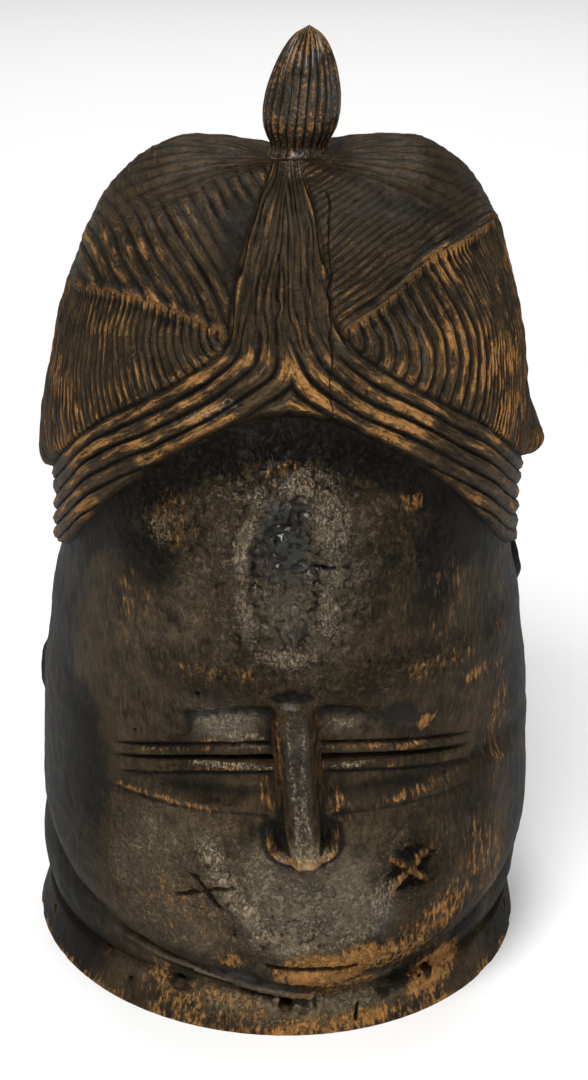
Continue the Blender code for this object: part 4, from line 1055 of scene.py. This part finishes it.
def blackened_wood(finish):
    """Dark stained wood: mottled brown under black, rubbed orange on the ridges, pale crust that is partly a
    painted highlight, glossy sides, painted shade on the sides and a painted bluish sheen where glossy.
    """
    material = bpy.data.materials.new("blackened_wood")
    material.use_nodes = True
    tree = material.node_tree
    shader = tree.nodes["Principled BSDF"]
    place = tree.nodes.new("ShaderNodeTexCoord").outputs["Object"]
    ridges, torn, flaking = crest_group(), torn_group(), flaking_group()
    lines, more_lines = split(tree, "lines"), split(tree, "more_lines")
    zones, more_zones = split(tree, "zones"), split(tree, "more_zones")
    wear, surface, form = split(tree, "wear"), split(tree, "surface"), split(tree, "form")
    worn, pale, black = wear
    gloss, crackle, film = surface
    relief, inside, scratch = form
    crack, hair = more_lines[2], more_zones[2]
    drawn = tree.nodes.new("ShaderNodeAttribute")
    drawn.attribute_type = "GEOMETRY"
    drawn.attribute_name = "grain"
    grain = drawn.outputs["Vector"]

    streak = noise(tree, grain, 1400.0, 4.0, 0.7)
    fleck = noise(tree, grain, 620.0, 4.0, 0.65)
    strand = noise(tree, grain, 240.0, 3.0, 0.6)
    lumps, gap = placed(tree, flaking, place)
    broad = noise(tree, place, 34.0, 5.0, 0.6)
    patchy = noise(tree, place, 120.0, 5.0, 0.68)
    grit = noise(tree, place, 800.0, 3.0, 0.7)

    kinds = ((lines[0], zones[0]), (lines[1], zones[1]), (lines[2], zones[2]), (more_lines[0], more_zones[0]),
             (more_lines[1], more_zones[1]))
    carved = strokes = None
    for phase, zone in kinds:
        part = times(tree, placed(tree, ridges, phase, 0.8)["Ridge"], zone)
        fine = times(tree, placed(tree, ridges, times(tree, phase, 3.0), 1.0)["Ridge"], zone)
        carved = part if carved is None else maths(tree, "ADD", carved, part)
        strokes = fine if strokes is None else maths(tree, "ADD", strokes, fine)

    # Brown wood under a black stain, in soft mottles and short upright flecks; the black also lays painted
    # shade in places
    cloud = scaled(tree, patchy, 0.9, scaled(tree, broad, 0.9, times(tree, fleck, 0.7)))
    mottle = times(tree, ramp(tree, cloud, 1.02, 1.55), scaled(tree, hair, -0.30, 1.0))
    colour = mixed(tree, mottle, finish.dark_wood, finish.brown_wood)
    dry = times(tree, ramp(tree, scaled(tree, streak, 0.5, times(tree, fleck, 0.6)), 0.58, 0.74), scratch)
    colour = mixed(tree, times(tree, dry, 0.50), colour, finish.dry_wood)
    # Grey film of dust and old polish; on the front of the knob it is a painted highlight
    film_and_highlight = placed(tree, torn, film, scaled(tree, patchy, 0.8, times(tree, grit, 0.2)), 1.3, 0.45)["Torn"]
    colour = mixed(tree, times(tree, film_and_highlight, 0.85), colour, finish.film)
    # Black from the black mask: real stains, and painted shade in the band under the hair, on the sides and
    # in the nostril hollows
    blackened_and_shaded = placed(tree, torn, black, patchy, 1.5, 0.28)["Torn"]
    colour = mixed(tree, times(tree, blackened_and_shaded, 0.90), colour, finish.soot_and_shade)
    # Where the surface is glossy a bluish black is mixed in: polished black with a painted bluish sheen
    colour = mixed(tree, times(tree, gloss, 0.40), colour, finish.black_with_painted_sheen)

    # Ridges a little lighter, and rubbed down to bare wood in flecks along them
    high = scaled(tree, relief, 0.5, 0.5)
    crown = scaled(tree, maths(tree, "SUBTRACT", carved, 0.55), times(tree, hair, 0.8), high, clamp=True)
    lit = times(tree, ramp(tree, crown, 0.50, 0.95), times(tree, hair, ramp(tree, fleck, 0.40, 0.70)))
    colour = mixed(tree, lit, colour, finish.crest_wood)
    gain = scaled(tree, times(tree, crown, hair), 0.85, scaled(tree, hair, -0.95, 1.0))
    bite = scaled(tree, fleck, 0.55, scaled(tree, strand, 0.20, times(tree, patchy, 0.25)))
    bare = placed(tree, torn, times(tree, worn, gain), bite, 3.0, 0.20)["Torn"]
    bare = times(tree, bare, ramp(tree, worn, 0.04, 0.30))
    bare_colour = mixed(tree, ramp(tree, scaled(tree, streak, 0.5, times(tree, bare, 0.25)), 0.34, 0.62),
                        finish.worn_wood, finish.raw_wood)
    colour = mixed(tree, times(tree, bare, 0.92), colour, bare_colour)

    # Pale crust, caught on the high places of the crackled patina, and partly a painted highlight on them
    speck = scaled(tree, lumps, 0.45, scaled(tree, streak, 0.30, times(tree, grit, 0.20)))
    crust_and_highlight_mask = placed(tree, torn, pale, speck, 3.4, 0.34)["Torn"]
    ragged = scaled(tree, ramp(tree, streak, 0.42, 0.58), 0.65, 0.35)
    crust_and_highlight_mask = times(tree, times(tree, crust_and_highlight_mask, ramp(tree, pale, 0.06, 0.36)), ragged)
    colour = mixed(tree, times(tree, crust_and_highlight_mask, 0.72), colour, finish.crust_and_painted_highlight)

    # Darker in the grooves of the hair and in sunk places of the carving, and black in the gaps of the
    # flaking, in pits and in cracks
    sunk = ramp(tree, relief, -0.04, -0.60)
    groove = times(tree, ramp(tree, carved, 0.58, 0.10), hair)
    gaps = times(tree, gap, scaled(tree, crackle, 0.80, 0.16))
    pits = times(tree, ramp(tree, grit, 0.44, 0.34), scaled(tree, hair, 0.35, 0.45))
    darker_in_hollows = maths(tree, "MAXIMUM", maths(tree, "MAXIMUM", sunk, times(tree, groove, 0.90)), gaps)
    darker_in_hollows = maths(tree, "MAXIMUM", darker_in_hollows, pits)
    darker_in_hollows = maths(tree, "MAXIMUM", times(tree, darker_in_hollows, 0.85), ramp(tree, crack, 0.10, 0.60))
    colour = mixed(tree, darker_in_hollows, colour, finish.soot_and_shade)
    plain = mixed(tree, ramp(tree, fleck, 0.35, 0.65), finish.brown_wood, finish.dry_wood)
    colour = mixed(tree, inside, colour, plain)
    tree.links.new(colour, shader.inputs["Base Color"])

    dull = scaled(tree, patchy, 0.35, 0.36)
    for value, share in ((gloss, -0.16), (bare, 0.20), (crust_and_highlight_mask, 0.15)):
        dull = scaled(tree, value, share, dull)
    tree.links.new(scaled(tree, inside, 0.2, dull, clamp=True), shader.inputs["Roughness"])
    shader.inputs["Specular IOR Level"].default_value = 0.03
    thin_coat = scaled(tree, black, -0.04, 0.05)
    coat = times(tree, scaled(tree, gloss, 0.55, thin_coat), maths(tree, "SUBTRACT", 1.0, bare))
    tree.links.new(times(tree, coat, ramp(tree, patchy, 0.30, 0.60)), shader.inputs["Coat Weight"])
    shader.inputs["Coat Roughness"].default_value = 0.24

    height = times(tree, times(tree, carved, hair), 0.22)
    rises = ((times(tree, strokes, hair), 0.26), (streak, scaled(tree, scratch, 0.25, 0.34)),
             (fleck, scaled(tree, scratch, 0.40, 0.75)), (lumps, scaled(tree, crackle, 3.20, 0.35)),
             (gaps, -0.35), (pits, -0.30), (patchy, 0.60), (bare, -0.10))
    for value, share in rises:
        height = scaled(tree, value, share, height)
    bump = tree.nodes.new("ShaderNodeBump")
    bump.inputs["Strength"].default_value = 1.0
    bump.inputs["Distance"].default_value = 0.0010
    tree.links.new(height, bump.inputs["Height"])
    tree.links.new(bump.outputs["Normal"], shader.inputs["Normal"])
    return material


def pale_paper(colour):
    """Matt pale paper for the floor."""
    material = bpy.data.materials.new("pale_paper")
    material.use_nodes = True
    tree = material.node_tree
    shader = tree.nodes["Principled BSDF"]
    place = tree.nodes.new("ShaderNodeTexCoord").outputs["Object"]
    shaded = tuple(0.985 * c for c in colour[:3]) + (1.0,)
    tree.links.new(mixed(tree, noise(tree, place, 3.0), shaded, colour), shader.inputs["Base Color"])
    shader.inputs["Roughness"].default_value = 0.9
    return material


def length_setting(name, description, metres):
    """A length that the panel shows."""
    return FloatProperty(name=name, description=description, default=metres, unit="LENGTH", precision=4)


class MaskCarving(bpy.types.PropertyGroup):
    """How finely the mask is carved."""
    lock_pitch: length_setting("Lock pitch", "Distance between the bold locks of the lobes", 0.0054)
    lock_depth: length_setting("Lock depth", "Depth of the bold locks", 0.0012)
    plait_pitch: length_setting("Plait pitch", "Distance between the plaits of the band", 0.0056)
    plait_depth: length_setting("Plait depth", "Depth of the grooves between the plaits", 0.0020)
    columns: IntProperty(name="Columns", description="Upright lines of the web", default=1000)
    rows: IntProperty(name="Rows", description="Girth lines of the web", default=640)
    triangles: IntProperty(name="Triangles", description="Triangles kept in the skin", default=190000)


def colour_setting(name, description, red, green, blue):
    """A colour that the panel shows."""
    return FloatVectorProperty(name=name, description=description, subtype="COLOR", size=4,
                               default=(red, green, blue, 1.0))


class MaskFinish(bpy.types.PropertyGroup):
    """Colours of the wood, its stain and its wear."""
    dark_wood: colour_setting("Dark wood", "Wood under the heaviest stain", 0.0150, 0.0115, 0.0070)
    brown_wood: colour_setting("Brown wood", "Wood under a thinner stain", 0.058, 0.039, 0.019)
    crest_wood: colour_setting("Crest wood", "Wood on the ridges of the hair", 0.078, 0.048, 0.021)
    dry_wood: colour_setting("Dry wood", "Dry raised fibres on the face", 0.120, 0.083, 0.044)
    worn_wood: colour_setting("Worn wood", "Wood where the stain is rubbed thin", 0.165, 0.082, 0.027)
    raw_wood: colour_setting("Raw wood", "Bare wood in the flecks of wear", 0.390, 0.190, 0.060)
    # Grey film of dust and old polish, also used as a painted highlight on the front of the knob
    film: colour_setting("Film", "Thin grey film of dust and old polish", 0.190, 0.148, 0.092)
    # Pale dry crust, also used as a painted highlight on the forehead ring, the nose ridge's edges and the
    # nostrils' front
    crust_and_painted_highlight: colour_setting("Crust and painted highlight", "Pale dry crust on the high places", 0.330, 0.265, 0.175)
    # Black of soot and stain, also used as painted shade under the hair, on the sides and in the nostril
    # hollows, and to darken grooves and sunk places
    soot_and_shade: colour_setting("Soot and shade", "Black in the grooves and under the hair", 0.0060, 0.0055, 0.0045)
    # Polished black with a bluish tint that is a painted sheen, mixed in where the surface is glossy
    black_with_painted_sheen: colour_setting("Black with painted sheen", "Polished black of the sides", 0.017, 0.019, 0.020)


class MaskStudio(bpy.types.PropertyGroup):
    """The floor and lights round the mask."""
    floor_colour: colour_setting("Floor", "Colour of the paper floor", 0.88, 0.88, 0.88)
    key_power: FloatProperty(name="Key light", description="Power of the large light above the front",
                             default=36.0, unit="POWER")
    side_power: FloatProperty(name="Side lights", description="Power of each tall light at the sides",
                              default=1.0, unit="POWER")
    back_power: FloatProperty(name="Back light", description="Power of the broad light over the floor behind",
                              default=60.0, unit="POWER")
    sky: FloatProperty(name="Surround", description="Brightness of the pale room", default=0.20)


def in_scene(name, mesh):
    thing = bpy.data.objects.new(name, mesh)
    bpy.context.scene.collection.objects.link(thing)
    return thing


class MASK_OT_skin(bpy.types.Operator):
    """Carves the whole skin of the mask and gives it its finish"""
    bl_idname = "mask.skin"
    bl_label = "Carve the mask"

    def execute(self, context):
        carving = context.scene.mask_carving
        hollow = hollow_web(carving.columns, HOLLOW_ROWS)
        body, body_values = body_web(carving)
        across_rim = np.linspace(0.0, 1.0, RIM_ROWS + 2)[1:-1, None, None]
        rim = hollow[-1] + (body[0] - hollow[-1]) * across_rim
        knob, knob_values = knob_web(carving, body[-1])
        knob = knob[:-1]
        parts = (same_everywhere(hollow, 1.0, 0.1), same_everywhere(rim, 0.6, 0.4), body_values,
                 {k: tuple(v[:-1] if np.ndim(v) == 2 else v for v in t) for k, t in knob_values.items()})
        values = {label: tuple(np.concatenate([part[label][i] for part in parts]) for i in range(3))
                  for label in body_values}
        rings = set_on_axis(np.concatenate([hollow, rim, body, knob]))
        ends = set_on_axis(np.array([(0.0, 0.0, CROWN_HEIGHT - CROWN_THICKNESS), (0.0, 0.0, HEIGHT)]))
        skin = in_scene("carved_mask", closed_mesh("carved_mask", rings, ends[0], ends[1], values))
        thinned = skin.modifiers.new("thinned", "DECIMATE")
        thinned.ratio = carving.triangles / (2.0 * len(skin.data.polygons))
        tool = in_scene("openings", openings_mesh())
        cut = skin.modifiers.new("openings", "BOOLEAN")
        cut.operation = "DIFFERENCE"
        cut.solver = "EXACT"
        cut.object = tool
        finished = bpy.data.meshes.new_from_object(skin.evaluated_get(context.evaluated_depsgraph_get()))
        skin.modifiers.clear()
        skin.data = finished
        finished.name = "carved_mask"
        without_spare_points(finished)
        bpy.data.objects.remove(tool)
        finished.shade_smooth()
        finished.set_sharp_from_angle(angle=math.radians(55.0))
        finished.materials.clear()
        finished.materials.append(blackened_wood(context.scene.mask_finish))
        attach(skin, "root")
        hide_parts("mask")
        return {"FINISHED"}


class MASK_OT_studio(bpy.types.Operator):
    """Lays the pale floor, hangs the soft lights and sets the camera"""
    bl_idname = "mask.studio"
    bl_label = "Set up the studio"

    def execute(self, context):
        studio = context.scene.mask_studio
        angle, far = np.meshgrid(np.linspace(0.0, 2.0 * math.pi, 64, endpoint=False), (0.001, 1.0, 8.0))
        discs = np.stack([far * np.cos(angle), far * np.sin(angle), np.zeros_like(far)], axis=-1)
        here = np.arange(discs[..., 0].size).reshape(discs.shape[:2])
        beside = np.roll(here, -1, axis=1)
        faces = np.stack([here[:-1], here[1:], beside[1:], beside[:-1]], axis=-1).reshape(-1, 4)
        mesh = bpy.data.meshes.new("floor")
        mesh.from_pydata(discs.reshape(-1, 3).tolist(), [], faces.tolist() + [here[0].tolist()])
        mesh.materials.append(pale_paper(studio.floor_colour))
        in_scene("floor", mesh)
        lights = (
            ("key", (-0.30, -1.10, 1.55), (0.0, 0.0, 0.20), (0.7, 0.7), studio.key_power),
            ("fill", (0.90, -1.10, 0.60), (0.0, 0.0, 0.20), (0.8, 0.8), 0.20 * studio.key_power),
            ("left", (-1.15, -0.10, 0.45), (0.0, 0.0, 0.20), (0.4, 1.2), studio.side_power),
            ("right", (1.15, -0.10, 0.45), (0.0, 0.0, 0.20), (0.4, 1.2), studio.side_power),
            ("behind", (0.0, 2.0, 2.4), (0.0, 1.8, 0.0), (2.6, 1.8), studio.back_power),
        )
        for name, at, towards, size, power in lights:
            lamp = bpy.data.lights.new(name, "AREA")
            lamp.shape = "RECTANGLE"
            lamp.size, lamp.size_y = size
            lamp.energy = power
            light = in_scene(name, lamp)
            light.location = at
            light.rotation_euler = (Vector(towards) - Vector(at)).to_track_quat("-Z", "Y").to_euler()
        world = bpy.data.worlds.new("pale_room")
        world.use_nodes = True
        world.node_tree.nodes["Background"].inputs["Color"].default_value = (1.0, 0.985, 0.96, 1.0)
        world.node_tree.nodes["Background"].inputs["Strength"].default_value = studio.sky
        context.scene.world = world
        camera = bpy.data.objects.new("camera", bpy.data.cameras.new("camera"))
        context.scene.collection.objects.link(camera)
        camera.data.lens, camera.data.sensor_width = CAMERA_LENS, CAMERA_SENSOR
        rise = math.radians(CAMERA_RISE)
        back = Vector((0.0, -math.cos(rise), math.sin(rise)))
        camera.location = Vector(CAMERA_TARGET) + CAMERA_DISTANCE * back
        camera.rotation_euler = (-back).to_track_quat("-Z", "Y").to_euler()
        context.scene.camera = camera
        context.scene.view_settings.view_transform = "Standard"
        return {"FINISHED"}


class MASK_PT_panel(bpy.types.Panel):
    """Lists the sizes, colours and steps"""
    bl_label = "Carved helmet mask"
    bl_idname = "MASK_PT_panel"
    bl_space_type = "VIEW_3D"
    bl_region_type = "UI"
    bl_category = "Mask"

    def draw(self, context):
        for group in (context.scene.mask_carving, context.scene.mask_finish, context.scene.mask_studio):
            box = self.layout.box()
            for name in group.bl_rna.properties.keys():
                if name not in ("rna_type", "name"):
                    box.prop(group, name)
        self.layout.operator(MASK_OT_skin.bl_idname)
        self.layout.operator(MASK_OT_studio.bl_idname)


CLASSES = (MaskCarving, MaskFinish, MaskStudio, MASK_OT_skin, MASK_OT_studio, MASK_PT_panel)


def register():
    for kind in CLASSES:
        bpy.utils.register_class(kind)
    bpy.types.Scene.mask_carving = PointerProperty(type=MaskCarving)
    bpy.types.Scene.mask_finish = PointerProperty(type=MaskFinish)
    bpy.types.Scene.mask_studio = PointerProperty(type=MaskStudio)


def unregister():
    del bpy.types.Scene.mask_carving
    del bpy.types.Scene.mask_finish
    del bpy.types.Scene.mask_studio
    for kind in reversed(CLASSES):
        bpy.utils.unregister_class(kind)


def main():
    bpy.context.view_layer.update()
    register()
    bpy.ops.mask.skin()
    bpy.ops.mask.studio()


if __name__ == "__main__":
    main()
